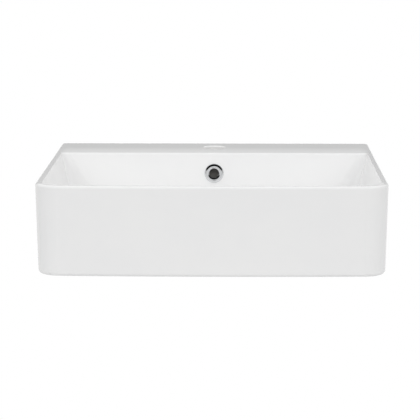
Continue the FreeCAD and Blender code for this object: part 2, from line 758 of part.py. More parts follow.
def cam_bend(height):
    """Round end of the zigzag where two legs meet."""
    start = FreeCAD.Vector(ROTOR_RADIUS - CAM_GROOVE_DEPTH, 0, height)
    return Part.makeCylinder(
        CAM_PIN_RADIUS + CAM_GROOVE_CLEARANCE, 2 * CAM_GROOVE_DEPTH, start, FreeCAD.Vector(1, 0, 0)
    )


def cam_rotor():
    """Drum with a zigzag groove: the pin's stroke turns it by one step."""
    legs = []
    bends = []
    for step in range(CAM_LEGS):
        rising = step % 2
        legs.append(about_axis(cam_leg(-1 if rising else 1), (step + 0.5) * CAM_STEP))
        bends.append(about_axis(cam_bend(CAM_BASE if rising else CAM_TOP), step * CAM_STEP))
    drum = ring(ROTOR_RADIUS, ROTOR_POST_RADIUS + POST_CLEARANCE, BASE_PLUG_TOP, ROTOR_TOP)
    drum = about_axis(drum, CAM_STEP / 4)
    for cutter in legs + bends:
        drum = drum.cut(cutter)
    return at_drain(drum)


def cartridge_base():
    """Base that carries the rotor's post, plugs the barrel and bolts through the bridge."""
    plug = CARTRIDGE_BORE_RADIUS - BASE_FIT
    spigot_end = LOCKNUT_BASE - SPIGOT_END
    return at_drain(
        turned(
            [
                (0, spigot_end),
                (SPIGOT_RADIUS, spigot_end),
                (SPIGOT_RADIUS, BRIDGE_TOP),
                (CARTRIDGE_RADIUS, BRIDGE_TOP),
                (CARTRIDGE_RADIUS, BASE_FLANGE_TOP),
                (plug, BASE_FLANGE_TOP),
                (plug, BASE_PLUG_TOP),
                (ROTOR_POST_RADIUS, BASE_PLUG_TOP),
                (ROTOR_POST_RADIUS, ROTOR_TOP),
                (0, ROTOR_TOP),
            ]
        )
    )


def cartridge_barrel():
    mouth = STEM_RADIUS + STEM_CLEARANCE
    return at_drain(
        turned(
            [
                (CARTRIDGE_BORE_RADIUS, BASE_FLANGE_TOP),
                (CARTRIDGE_RADIUS, BASE_FLANGE_TOP),
                (CARTRIDGE_RADIUS, COVER_TOP),
                (mouth, COVER_TOP),
                (mouth, COVER_BASE),
                (CARTRIDGE_BORE_RADIUS, COVER_BASE),
            ]
        )
    )


def coil_point(turn, base, rise):
    angle = 2 * math.pi * turn
    height = base + rise * turn
    return FreeCAD.Vector(SPRING_RADIUS * math.cos(angle), SPRING_RADIUS * math.sin(angle), height)


def coil_heading(turn, rise):
    angle = 2 * math.pi * turn
    reach = 2 * math.pi * SPRING_RADIUS
    return FreeCAD.Vector(-reach * math.sin(angle), reach * math.cos(angle), rise).normalize()


def arc_from(start, heading, end):
    """Arc that leaves start along heading and passes through end."""
    chord = end - start
    along = FreeCAD.Vector(chord).normalize()
    side = (heading - along * heading.dot(along)).normalize()
    bulge = chord.Length / 2 * math.tan(heading.getAngle(along) / 2)
    return Part.Arc(start, (start + end) * 0.5 + side * bulge, end).toShape()


def biarc(start, start_heading, end, end_heading):
    """Two arcs that leave start and reach end along the given headings and meet smoothly."""
    span = end - start
    headings = start_heading + end_heading
    spread = 2 * (1 - start_heading.dot(end_heading))
    lean = span.dot(headings)
    reach = (math.sqrt(lean**2 + spread * span.dot(span)) - lean) / spread
    joint = (start + start_heading * reach + end - end_heading * reach) * 0.5
    return [arc_from(start, start_heading, joint), arc_from(end, end_heading * -1, joint)]


def cartridge_spring():
    """Open coil between the base and the collar, one tube on quarter-turn biarcs."""
    base = BASE_PLUG_TOP + SPRING_WIRE_RADIUS + SPRING_SEAT
    rise = (COLLAR_BASE - SPRING_WIRE_RADIUS - SPRING_SEAT - base) / SPRING_TURNS
    print("spring: least gap between turns", round(rise - 2 * SPRING_WIRE_RADIUS, 2))
    edges = []
    for quarter in range(4 * SPRING_TURNS):
        turn = quarter / 4
        after = (quarter + 1) / 4
        edges += biarc(
            coil_point(turn, base, rise),
            coil_heading(turn, rise),
            coil_point(after, base, rise),
            coil_heading(after, rise),
        )
    path = Part.Wire(Part.__sortEdges__(edges))
    section = Part.makeCircle(SPRING_WIRE_RADIUS, coil_point(0, base, rise), coil_heading(0, rise))
    return at_drain(path.makePipeShell([Part.Wire(section)], True, False))


def cartridge_nut():
    nut = hexagon_nut(LOCKNUT_FLATS, SPIGOT_RADIUS + NUT_CLEARANCE, LOCKNUT_THICKNESS)
    return at_drain(nut.translated(FreeCAD.Vector(0, 0, LOCKNUT_BASE)))


# Depths of the fixing stack in front of the wall, measured back from the wall's face
BUSH_FACE = -BACK_WALL - BUSH_FLANGE_THICKNESS
WASHER_FACE = BUSH_FACE - WASHER_THICKNESS
NUT_FACE = WASHER_FACE - NUT_THICKNESS


def fixing_studs():
    """Studs with a threaded nut end, a shoulder just inside the wall plane and a wall point."""
    stud = turned(
        [
            (0, NUT_FACE - STUD_END),
            (STUD_THREAD_RADIUS, NUT_FACE - STUD_END),
            (STUD_THREAD_RADIUS, -STUD_SHOULDER),
            (STUD_RADIUS, -STUD_SHOULDER),
            (STUD_RADIUS, STUD_REACH - STUD_POINT),
            (STUD_TIP_RADIUS, STUD_REACH),
            (0, STUD_REACH),
        ]
    )
    return at_fixings(stud)


def fixing_bushes():
    sleeve = FIXING_HOLE_RADIUS - BUSH_CLEARANCE
    bore = STUD_RADIUS + BUSH_BORE_CLEARANCE
    bush = turned(
        [
            (bore, BUSH_FACE),
            (BUSH_FLANGE_RADIUS, BUSH_FACE),
            (BUSH_FLANGE_RADIUS, -BACK_WALL),
            (sleeve, -BACK_WALL),
            (sleeve, -BUSH_SHORTFALL),
            (bore, -BUSH_SHORTFALL),
        ]
    )
    return at_fixings(bush)


def fixing_washers():
    return at_fixings(ring(WASHER_RADIUS, STUD_RADIUS + WASHER_CLEARANCE, WASHER_FACE, BUSH_FACE))


def fixing_nuts():
    nut = hexagon_nut(NUT_FLATS, STUD_THREAD_RADIUS + NUT_CLEARANCE, NUT_THICKNESS)
    return at_fixings(nut.translated(FreeCAD.Vector(0, 0, NUT_FACE)))


PIECES = [
    basin_body,
    overflow_ring,
    overflow_grip,
    waste_body,
    waste_flange_seal,
    waste_cone_seal,
    waste_slip_washer,
    waste_backnut,
    plug_cap,
    plug_seal,
    plug_plunger,
    cam_pin,
    cam_rotor,
    cartridge_base,
    cartridge_barrel,
    cartridge_spring,
    cartridge_nut,
    fixing_studs,
    fixing_bushes,
    fixing_washers,
    fixing_nuts,
]


def main():
    os.makedirs("parts", exist_ok=True)
    for piece in PIECES:
        made = piece()
        shape = Part.makeCompound(made) if isinstance(made, list) else made
        shape.exportStep("parts/" + piece.__name__ + ".step")
        state = "valid" if shape.isValid() else "not valid"
        print(piece.__name__, state, len(shape.Solids), "solid", round(shape.Volume / 1000, 3), "cm3")


main()
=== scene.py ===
"""Looks of a wall-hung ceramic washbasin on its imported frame. Metres, +Y into the wall, +Z up."""

import json
import logging
import math
from dataclasses import dataclass, field
from enum import Enum
from typing import Any, ClassVar

import bmesh
import bpy
from mathutils import Matrix, Vector


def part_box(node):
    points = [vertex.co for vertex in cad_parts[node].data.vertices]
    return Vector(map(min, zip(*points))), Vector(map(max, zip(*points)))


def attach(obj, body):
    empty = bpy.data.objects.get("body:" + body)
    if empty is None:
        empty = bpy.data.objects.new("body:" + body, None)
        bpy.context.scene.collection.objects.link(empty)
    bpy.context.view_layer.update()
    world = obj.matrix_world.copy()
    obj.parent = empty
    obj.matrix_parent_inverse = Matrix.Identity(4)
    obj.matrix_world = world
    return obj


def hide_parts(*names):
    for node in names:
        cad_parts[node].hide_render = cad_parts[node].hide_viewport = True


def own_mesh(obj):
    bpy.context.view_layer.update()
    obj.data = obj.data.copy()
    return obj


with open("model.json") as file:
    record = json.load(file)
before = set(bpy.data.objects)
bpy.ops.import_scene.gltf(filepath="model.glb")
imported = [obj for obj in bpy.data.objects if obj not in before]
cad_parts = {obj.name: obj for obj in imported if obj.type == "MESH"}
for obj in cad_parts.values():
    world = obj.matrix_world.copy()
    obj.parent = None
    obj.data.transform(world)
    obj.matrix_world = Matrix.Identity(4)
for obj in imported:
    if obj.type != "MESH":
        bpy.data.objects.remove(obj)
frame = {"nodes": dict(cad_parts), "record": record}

log = logging.getLogger("washbasin")

Colour = tuple[float, float, float]
Socket = bpy.types.NodeSocket
WELD_DISTANCE = 2e-6
WHITE: Colour = (1.0, 1.0, 1.0)


class Cut(Enum):
    """What a carving step does with its tool."""

    TAKE = "DIFFERENCE"
    JOIN = "UNION"


class Body(Enum):
    """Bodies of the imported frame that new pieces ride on."""

    BASIN = "basin"


class Slot(Enum):
    """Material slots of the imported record."""

    GLAZED_CERAMIC = "glazed_ceramic"
    TRIM_CHROME = "trim_chrome"
    WASTE_CHROME = "waste_chrome"
    PLAIN_BRASS = "plain_brass"
    BLACK_RUBBER = "black_rubber"
    WHITE_NYLON = "white_nylon"
    SPRING_STEEL = "spring_steel"
    ZINC_STEEL = "zinc_steel"


def ease(share: float) -> float:
    """Ease a share of 0 to 1 in and out."""
    return share * share * (3.0 - 2.0 * share)


def tangent(degrees: float) -> float:
    """Tangent of an angle in degrees."""
    return math.tan(math.radians(degrees))


def mount_place(name: str) -> Vector:
    """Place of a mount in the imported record.

    Args:
        name: the mount's name.

    Returns:
        Its point in the row frame.
    """
    return next(Vector(mount["pos_m"]) for mount in frame["record"]["mounts"] if mount["name"] == name)


@dataclass(frozen=True)
class Thread:
    """A screw thread cut into a turned piece between two heights."""

    pitch: float
    depth: float
    bottom: float
    top: float
    steepness: float = 1.35
    crest_land: float = 0.12

    def cut(self, height: float, turn: float) -> float:
        """Depth taken off the surface at one place.

        Args:
            height: height along the axis.
            turn: share of a whole turn about the axis.

        Returns:
            The depth below the crest.
        """
        if not self.bottom < height < self.top:
            return 0.0
        phase = (height / self.pitch - turn) % 1.0
        run_out = min(1.0, (height - self.bottom) / self.pitch, (self.top - height) / self.pitch)
        groove = self.steepness * (1.0 - abs(2.0 * phase - 1.0)) - self.crest_land
        return self.depth * run_out * min(1.0, max(0.0, groove))

    def heights(self, per_turn: int = 12) -> list[float]:
        """Heights from the bottom to the top, close enough to show the grooves.

        Args:
            per_turn: how many heights each turn of the thread gets.

        Returns:
            The heights in order.
        """
        steps = math.ceil((self.top - self.bottom) / self.pitch * per_turn)
        return [self.bottom + (self.top - self.bottom) * step / steps for step in range(steps + 1)]


@dataclass(frozen=True)
class Corner:
    """A corner of a turned piece's side view, rounded by a small radius."""

    radius: float
    height: float
    rounding: float = 0.0

    def points(self, before: "Corner", after: "Corner") -> list[tuple[float, float]]:
        """Radius and height of each point round the corner.

        Args:
            before: the corner that leads here.
            after: the corner that follows.

        Returns:
            One point for a sharp corner, else four along its curve.
        """
        here = Vector((self.radius, self.height))
        if self.rounding == 0.0:
            return [tuple(here)]
        start = here + (Vector((before.radius, before.height)) - here).normalized() * self.rounding
        end = here + (Vector((after.radius, after.height)) - here).normalized() * self.rounding
        shares = (0.0, 1.0 / 3.0, 2.0 / 3.0, 1.0)
        return [tuple(start.lerp(here, share).lerp(here.lerp(end, share), share)) for share in shares]


def turn_corners(corners: list[Corner]) -> list[tuple[float, float]]:
    """Side view of a turned piece from its corners.

    Args:
        corners: the corners of a closed outline in order.

    Returns:
        Radius and height of each point.
    """
    count = len(corners)
    view = []
    for index, corner in enumerate(corners):
        view += corner.points(corners[index - 1], corners[(index + 1) % count])
    return view


def skin(name: str, loops: list[list[Vector]], ring: bool = False) -> bpy.types.Object:
    """Join loops of equal length into a closed mesh.

    Args:
        name: name of the new object.
        loops: loops of points, each joined to the next.
        ring: True joins the last loop to the first, False caps both ends.

    Returns:
        The new object, linked to the scene.
    """
    count = len(loops[0])
    faces = []
    for level in range(len(loops) if ring else len(loops) - 1):
        low = level * count
        high = (level + 1) % len(loops) * count
        for index in range(count):
            after = (index + 1) % count
            faces.append((low + index, low + after, high + after, high + index))
    if not ring:
        last = (len(loops) - 1) * count
        faces.append(tuple(reversed(range(count))))
        faces.append(tuple(range(last, last + count)))
    mesh = bpy.data.meshes.new(name)
    mesh.from_pydata([point for loop in loops for point in loop], [], faces)
    form = bmesh.new()
    form.from_mesh(mesh)
    bmesh.ops.recalc_face_normals(form, faces=form.faces)
    form.to_mesh(mesh)
    form.free()
    piece = bpy.data.objects.new(name, mesh)
    bpy.context.scene.collection.objects.link(piece)
    return piece


def circle(radius: float, height: float, steps: int, threads: tuple[Thread, ...] = ()) -> list[Vector]:
    """Points of a circle about the Z axis, with any thread cut into it.

    Args:
        radius: radius of the circle.
        height: its height.
        steps: how many points it has.
        threads: threads that may cross it.

    Returns:
        The points, anticlockwise from above.
    """
    points = []
    for step in range(steps):
        turn = step / steps
        reach = radius - sum(thread.cut(height, turn) for thread in threads)
        angle = math.tau * turn
        points.append(Vector((reach * math.cos(angle), reach * math.sin(angle), height)))
    return points


def rod(name: str, radius: float, start: Vector, end: Vector, steps: int = 64) -> bpy.types.Object:
    """Straight round bar between two points.

    Args:
        name: name of the new object.
        radius: its radius.
        start: middle of one end.
        end: middle of the other end.
        steps: points round it.

    Returns:
        The new object.
    """
    along = end - start
    turn = along.to_track_quat("Z", "Y").to_matrix()
    ends = [circle(radius, height, steps) for height in (0.0, along.length)]
    return skin(name, [[start + turn @ point for point in end] for end in ends])


def arch(half: float, foot: float, top: float, corner: float, steps: int) -> list[tuple[float, float]]:
    """Outline of an arch with two rounded corners at its top.

    Args:
        half: half of its width.
        foot: where its two legs start.
        top: where it ends.
        corner: radius of its corners.
        steps: how many steps go round a corner.

    Returns:
        Points from the right leg round to the left one.
    """
    turns = [math.radians(90.0 * step / steps) for step in range(steps + 1)]
    right = [(half - corner + corner * math.cos(t), top - corner + corner * math.sin(t)) for t in turns]
    return [(half, foot), *right, *[(-x, y) for x, y in reversed(right)], (-half, foot)]


def prism(name: str, outline: list[Vector], travel: Vector) -> bpy.types.Object:
    """Flat outline drawn out along a straight travel.

    Args:
        name: name of the new object.
        outline: corner points in order.
        travel: how far and which way it is drawn out.

    Returns:
        The new object.
    """
    return skin(name, [outline, [point + travel for point in outline]])


def carve(piece: bpy.types.Object, steps: list[tuple[Cut, bpy.types.Object]]) -> None:
    """Carve a closed mesh with other closed meshes, which are used up.

    Args:
        piece: the mesh that stays.
        steps: what to do with each tool, in order.
    """
    for cut, tool in steps:
        change = piece.modifiers.new(tool.name, "BOOLEAN")
        change.operation = cut.value
        change.solver = "EXACT"
        change.material_mode = "TRANSFER"
        change.object = tool
    carved = bpy.data.meshes.new_from_object(piece.evaluated_get(bpy.context.evaluated_depsgraph_get()))
    piece.modifiers.clear()
    piece.data = carved
    carved.name = piece.name
    for _, tool in steps:
        bpy.data.objects.remove(tool)


def polish(piece: bpy.types.Object, crease: float = 32.0) -> None:
    """Weld a carved mesh and give it smooth shading between its creases.

    Args:
        piece: the mesh object.
        crease: edges that turn by more degrees than this stay sharp.
    """
    form = bmesh.new()
    form.from_mesh(piece.data)
    bmesh.ops.remove_doubles(form, verts=form.verts, dist=WELD_DISTANCE)
    bmesh.ops.dissolve_degenerate(form, edges=form.edges, dist=WELD_DISTANCE)
    form.to_mesh(piece.data)
    form.free()
    piece.data.shade_smooth()
    piece.data.set_sharp_from_angle(angle=math.radians(crease))
    weights = piece.modifiers.new("even_shading", "WEIGHTED_NORMAL")
    weights.keep_sharp = True


@dataclass(frozen=True)
class Reach:
    """A point on a wall's side view: how far in from the rim's outline and how far below the rim."""

    inset: float
    drop: float


@dataclass(frozen=True)
class Level:
    """One level round the casting, with its own place at the sides, the front and the rear."""

    side: Reach
    front: Reach
    rear: Reach
    front_corner: float
    rear_corner: float


@dataclass(frozen=True)
class RimOutline:
    """Outline of the casting at its rim, from which every level is set in."""

    half_width: float
    depth: float
    bow_radius: float
    rim_height: float
    corner_steps: int = 18
    side_steps: int = 8
    edge_steps: int = 24

    def loop(self, level: Level) -> list[Vector]:
        """Points round one level, anticlockwise from above.

        Args:
            level: the level's insets, drops and corners.

        Returns:
            The points, the same number at every level.
        """
        half = self.half_width - level.side.inset
        bow_y = level.front.inset - self.depth + self.bow_radius
        front = level.front_corner
        rear = level.rear_corner
        corner_x = half - front
        corner_y = bow_y - math.sqrt((self.bow_radius - front) ** 2 - corner_x**2)
        start = math.atan2(corner_y - bow_y, corner_x)
        rear_x = half - rear
        rear_y = -level.rear.inset - rear
        right = []
        for step in range(self.corner_steps + 1):
            share = step / self.corner_steps
            turn = start * (1.0 - share)
            x = corner_x + front * math.cos(turn)
            right.append((x, corner_y + front * math.sin(turn), 1.0 - share, 0.0))
        for step in range(1, self.side_steps):
            right.append((half, corner_y + (rear_y - corner_y) * step / self.side_steps, 0.0, 0.0))
        for step in range(self.corner_steps + 1):
            share = step / self.corner_steps
            turn = math.pi / 2 * share
            right.append((rear_x + rear * math.cos(turn), rear_y + rear * math.sin(turn), 0.0, share))
        inner = range(1, self.edge_steps)
        across = [rear_x * (1.0 - 2.0 * step / self.edge_steps) for step in inner]
        behind = [(x, rear_y + rear, 0.0, 1.0) for x in across]
        left = [(-x, y, front_share, rear_share) for x, y, front_share, rear_share in reversed(right)]
        ahead = []
        for step in inner:
            turn = -math.pi - start + (2.0 * start + math.pi) * step / self.edge_steps
            x = self.bow_radius * math.cos(turn)
            ahead.append((x, bow_y + self.bow_radius * math.sin(turn), 1.0, 0.0))
        points = []
        for x, y, front_share, rear_share in right + behind + left + ahead:
            ahead_share = ease(front_share)
            behind_share = ease(rear_share)
            drop = level.side.drop * (1.0 - ahead_share - behind_share)
            drop += level.front.drop * ahead_share + level.rear.drop * behind_share
            points.append(Vector((x, y, self.rim_height - drop)))
        return points


@dataclass(frozen=True)
class BowlWall:
    """One sloping wall of the bowl, with the roll of the rim or deck that leads into it."""

    start: float
    slope: float
    middle: float
    roll: float
    tilt: float = 0.0

    def inset(self, drop: float, growth: float = 0.0) -> float:
        """Inset of the wall at one drop, moved outwards square to itself by growth."""
        return self.start + drop * tangent(self.slope) - growth / math.cos(math.radians(self.slope))


class NodeBench:
    """Places and wires the nodes of one material, node group or world."""

    def __init__(self, tree: bpy.types.NodeTree) -> None:
        """Start on an empty tree."""
        self.tree = tree
        tree.nodes.clear()

    def place(self, kind: str, inputs: dict[str | int, Any] | None = None, **settings: Any) -> bpy.types.Node:
        """Place one node.

        Args:
            kind: the node's type without its Shader prefix.
            inputs: a value or another node's socket for each input.
            settings: the node's own options.

        Returns:
            The new node.
        """
        node = self.tree.nodes.new("ShaderNode" + kind)
        for option, choice in settings.items():
            setattr(node, option, choice)
        for key, value in (inputs or {}).items():
            if isinstance(value, bpy.types.NodeSocket):
                self.tree.links.new(value, node.inputs[key])
            elif isinstance(value, tuple) and node.inputs[key].type == "RGBA":
                node.inputs[key].default_value = (*value, 1.0)
            else:
                node.inputs[key].default_value = value
        return node

    def sum(self, operation: str, first: Any, second: Any = 0.0, clamp: bool = False) -> Socket:
        """Result of a Math node.

        Args:
            operation: the node's operation.
            first: its first value or socket.
            second: its second value or socket.
            clamp: True keeps the result from 0 to 1.

        Returns:
            The node's output.
        """
        return self.place("Math", {0: first, 1: second}, operation=operation, use_clamp=clamp).outputs[0]

    def span(self, value: Socket, start: float, end: float, low: float, high: float) -> Socket:
        """Map a value smoothly from one span to another.

        Args:
            value: the socket to map.
            start: value that gives low.
            end: value that gives high.
            low: result at start.
            high: result at end.

        Returns:
            The mapped value.
        """
        inputs = {"Value": value, "From Min": start, "From Max": end, "To Min": low, "To Max": high}
        return self.place("MapRange", inputs, interpolation_type="SMOOTHSTEP").outputs["Result"]

    def blend(self, share: Any, first: Any, second: Any) -> Socket:
        """Mix two colours.

        Args:
            share: share of the second colour.
            first: colour or socket at share 0.
            second: colour or socket at share 1.

        Returns:
            The mixed colour.
        """
        return self.place("Mix", {0: share, 6: first, 7: second}, data_type="RGBA").outputs[2]

    def group(self, tree: bpy.types.NodeTree, inputs: dict[str, Any]) -> bpy.types.NodeOutputs:
        """Place a shared node group with its own values.

        Args:
            tree: the group.
            inputs: a value or socket for each of its inputs.

        Returns:
            The sockets that it gives.
        """
        return self.place("Group", inputs, node_tree=tree).outputs

    def seen(self) -> Socket:
        """Mask of what the camera sees, straight or through glass."""
        path = self.place("LightPath").outputs
        return self.sum("MAXIMUM", path["Is Camera Ray"], path["Is Transmission Ray"])

    def noise(self, place: Socket, scale: Any, detail: float, **inputs: Any) -> Socket:
        """Value of a noise texture.

        Args:
            place: where it is read.
            scale: how fine it is.
            detail: how many finer layers it has.
            inputs: its other inputs.

        Returns:
            The value, from 0 to 1.
        """
        given = {"Vector": place, "Scale": scale, "Detail": detail, **inputs}
        return self.place("TexNoise", given).outputs["Fac"]


class SharedEffect:
    """A node group that several finishes place with their own values."""

    def __init__(self, name: str, inputs: dict[str, tuple[str, Any]], outputs: dict[str, str]) -> None:
        """Make the group and its sockets.

        Args:
            name: the group's name.
            inputs: socket type and first value of each input.
            outputs: socket type of each output.
        """
        self.tree = bpy.data.node_groups.new(name, "ShaderNodeTree")
        self.bench = NodeBench(self.tree)
        for label, (kind, value) in inputs.items():
            socket = self.tree.interface.new_socket(label, in_out="INPUT", socket_type="NodeSocket" + kind)
            socket.default_value = (*value, 1.0) if kind == "Color" else value
        for label, kind in outputs.items():
            self.tree.interface.new_socket(label, in_out="OUTPUT", socket_type="NodeSocket" + kind)
        self.given = self.tree.nodes.new("NodeGroupInput").outputs
        self.result = self.tree.nodes.new("NodeGroupOutput").inputs
        self.place = self.bench.place("TexCoord").outputs["Object"]

    def put(self, label: str, value: Socket) -> None:
        """Wire one of the group's outputs."""
        self.tree.links.new(value, self.result[label])


def tone_cloud() -> bpy.types.NodeTree:
    """Slow drift between two tones, with a finer mottle inside it.

    Returns:
        The node group.
    """
    effect = SharedEffect(
        "tone_cloud",
        {"First": ("Color", (0.8, 0.8, 0.8)), "Second": ("Color", (0.7, 0.7, 0.7)), "Scale": ("Float", 8.0)},
        {"Colour": "Color", "Mask": "Float"},
    )
    mottle_fineness, mottle_share = 6.3, 0.35
    bench = effect.bench
    slow = bench.noise(effect.place, effect.given["Scale"], 2.0)
    fine = bench.noise(effect.place, bench.sum("MULTIPLY", effect.given["Scale"], mottle_fineness), 3.0)
    both = bench.sum("ADD", slow, bench.sum("MULTIPLY", fine, mottle_share))
    mask = bench.span(both, 0.5, 0.85, 0.0, 1.0)
    effect.put("Mask", mask)
    effect.put("Colour", bench.blend(mask, effect.given["First"], effect.given["Second"]))
    return effect.tree


def surface_grain() -> bpy.types.NodeTree:
    """Fine uneven grain with sparse pits.

    Returns:
        The node group.
    """
    effect = SharedEffect(
        "surface_grain",
        {"Scale": ("Float", 400.0), "Pits": ("Float", 0.3)},
        {"Height": "Float", "Mask": "Float"},
    )
    pit_bottom, pit_edge = 0.05, 0.28
    bench = effect.bench
    grain = bench.noise(effect.place, effect.given["Scale"], 4.0)
    cells = bench.place("TexVoronoi", {"Vector": effect.place, "Scale": effect.given["Scale"]})
    pits = bench.span(cells.outputs["Distance"], pit_bottom, pit_edge, 1.0, 0.0)
    sunk = bench.sum("MULTIPLY", pits, effect.given["Pits"])
    effect.put("Height", bench.sum("SUBTRACT", grain, sunk))
    effect.put("Mask", bench.span(grain, 0.35, 0.65, 0.0, 1.0))
    return effect.tree


def turning_marks() -> bpy.types.NodeTree:
    """Fine rings that a lathe leaves about an upright axis.

    Returns:
        The node group.
    """
    effect = SharedEffect(
        "turning_marks",
        {"Centre": ("Vector", (0.0, 0.0, 0.0)), "Spacing": ("Float", 0.0004)},
        {"Height": "Float", "Mask": "Float"},
    )
    bench = effect.bench
    away = bench.place("VectorMath", {0: effect.place, 1: effect.given["Centre"]}, operation="SUBTRACT")
    parts = bench.place("SeparateXYZ", {0: away.outputs[0]}).outputs
    flat = bench.place("CombineXYZ", {0: parts[0], 1: parts[1]})
    radius = bench.place("VectorMath", {0: flat.outputs[0]}, operation="LENGTH").outputs["Value"]
    rings = bench.sum("DIVIDE", bench.sum("ADD", radius, parts[2]), effect.given["Spacing"])
    lines = bench.place("TexNoise", {"W": rings, "Scale": 1.0, "Detail": 2.0}, noise_dimensions="1D")
    effect.put("Height", lines.outputs["Fac"])
    effect.put("Mask", bench.span(lines.outputs["Fac"], 0.3, 0.7, 0.0, 1.0))
    return effect.tree


def water_traces() -> bpy.types.NodeTree:
    """Faint dried drops and wiped streaks that dull a glossy surface.

    Returns:
        The node group.
    """
    effect = SharedEffect("water_traces", {"Scale": ("Float", 60.0)}, {"Mask": "Float"})
    rim_sharpness, rim_reach, wipe_fineness = 9.0, 2.2, 0.12
    bench = effect.bench
    drops = bench.place("TexVoronoi", {"Vector": effect.place, "Scale": effect.given["Scale"]})
    reach = bench.sum("MULTIPLY", drops.outputs["Distance"], rim_sharpness)
    rims = bench.sum("SUBTRACT", 1.0, bench.sum("ABSOLUTE", bench.sum("SUBTRACT", reach, rim_reach)))
    wide_scale = bench.sum("MULTIPLY", effect.given["Scale"], wipe_fineness)
    wipes = bench.noise(effect.place, wide_scale, 3.0, Distortion=0.8)
    spread = bench.span(wipes, 0.45, 0.7, 0.0, 1.0)
    effect.put("Mask", bench.sum("MULTIPLY", bench.sum("MAXIMUM", rims, 0.0), spread, clamp=True))
    return effect.tree


@dataclass
class Effects:
    """The shared node groups, each built once."""

    cloud: bpy.types.NodeTree = field(default_factory=tone_cloud)
    grain: bpy.types.NodeTree = field(default_factory=surface_grain)
    turning: bpy.types.NodeTree = field(default_factory=turning_marks)
    traces: bpy.types.NodeTree = field(default_factory=water_traces)


def new_material(name: str) -> tuple[bpy.types.Material, NodeBench]:
    """Start a node material.

    Args:
        name: the material's name.

    Returns:
        The material and a bench on its tree.
    """
    material = bpy.data.materials.new(name)
    material.use_nodes = True
    return material, NodeBench(material.node_tree)


@dataclass(frozen=True)
class Finish:
    """A surface with two tones that drift into each other, a span of gloss and a fine relief."""

    name: str
    first: Colour
    second: Colour
    roughness: float
    dulled: float
    tone_scale: ClassVar[float]
    relief_strength: ClassVar[float]
    constants: ClassVar[dict[str, float]] = {}

    def relief(self, bench: NodeBench, effects: Effects) -> tuple[Socket, Socket, float]:
        """Relief of the surface.

        Args:
            bench: bench of the material.
            effects: the shared node groups.

        Returns:
            A mask of what is dulled, the relief's height and its depth in metres.
        """
        raise NotImplementedError

    def material(self, effects: Effects) -> bpy.types.Material:
        """Build the finish.

        Args:
            effects: the shared node groups.

        Returns:
            The material.
        """
        material, bench = new_material(self.name)
        tones = {"First": self.first, "Second": self.second, "Scale": self.tone_scale}
        tone = bench.group(effects.cloud, tones)["Colour"]
        worn, height, depth = self.relief(bench, effects)
        gloss = bench.span(worn, 0.0, 1.0, self.roughness, self.dulled)
        bump = bench.place("Bump", {"Strength": self.relief_strength, "Distance": depth, "Height": height})
        surface = {"Base Color": tone, "Roughness": gloss, "Normal": bump.outputs[0], **self.constants}
        shader = bench.place("BsdfPrincipled", surface)
        bench.place("OutputMaterial", {"Surface": shader.outputs[0]})
        return material


@dataclass(frozen=True)
class Glaze(Finish):
    """Gloss white glaze: a slow drift of tone, soft waves from firing and faint dried water."""

    name: str = "gloss_white_glaze"
    first: Colour = (0.868, 0.868, 0.866)
    second: Colour = (0.855, 0.856, 0.857)
    roughness: float = 0.085
    dulled: float = 0.13
    trace_scale: float = 90.0
    wave_scale: float = 16.0
    wave_height: float = 0.00012
    tone_scale: ClassVar[float] = 7.0
    relief_strength: ClassVar[float] = 0.35
    constants: ClassVar[dict[str, float]] = {"IOR": 1.5}

    def relief(self, bench: NodeBench, effects: Effects) -> tuple[Socket, Socket, float]:
        """Waves of the firing, dulled where water dried.

        Args:
            bench: bench of the material.
            effects: the shared node groups.

        Returns:
            A mask of what is dulled, the waves' height and their depth in metres.
        """
        traces = bench.group(effects.traces, {"Scale": self.trace_scale})
        waves = bench.group(effects.grain, {"Scale": self.wave_scale, "Pits": 0.0})
        return traces["Mask"], waves["Height"], self.wave_height


@dataclass(frozen=True)
class Grained(Finish):
    """A surface with a fine grain and sparse pits, dulled on its high places."""

    grain_scale: float
    grain_height: float
    pits: ClassVar[float]

    def relief(self, bench: NodeBench, effects: Effects) -> tuple[Socket, Socket, float]:
        """The grain with its pits."""
        grain = bench.group(effects.grain, {"Scale": self.grain_scale, "Pits": self.pits})
        return grain["Mask"], grain["Height"], self.grain_height


@dataclass(frozen=True)
class RawCeramic(Grained):
    """Bare fired body with its grains and a thin wash of glaze."""

    roughness: float = 0.62
    dulled: float = 0.82
    grain_scale: float = 900.0
    grain_height: float = 0.0002
    tone_scale: ClassVar[float] = 14.0
    relief_strength: ClassVar[float] = 0.5
    pits: ClassVar[float] = 0.5


@dataclass(frozen=True)
class Moulded(Grained):
    """Moulded rubber or nylon with a fine mould grain."""

    tone_scale: ClassVar[float] = 60.0
    relief_strength: ClassVar[float] = 0.4
    pits: ClassVar[float] = 0.2


@dataclass(frozen=True)
class PlatedSteel(Grained):
    """Drawn or zinc plated steel: a faint colour cast, fine grain and handling marks."""

    grain_scale: float = 1400.0
    grain_height: float = 0.00005
    tone_scale: ClassVar[float] = 90.0
    relief_strength: ClassVar[float] = 0.3
    pits: ClassVar[float] = 0.4
    constants: ClassVar[dict[str, float]] = {"Metallic": 1.0}


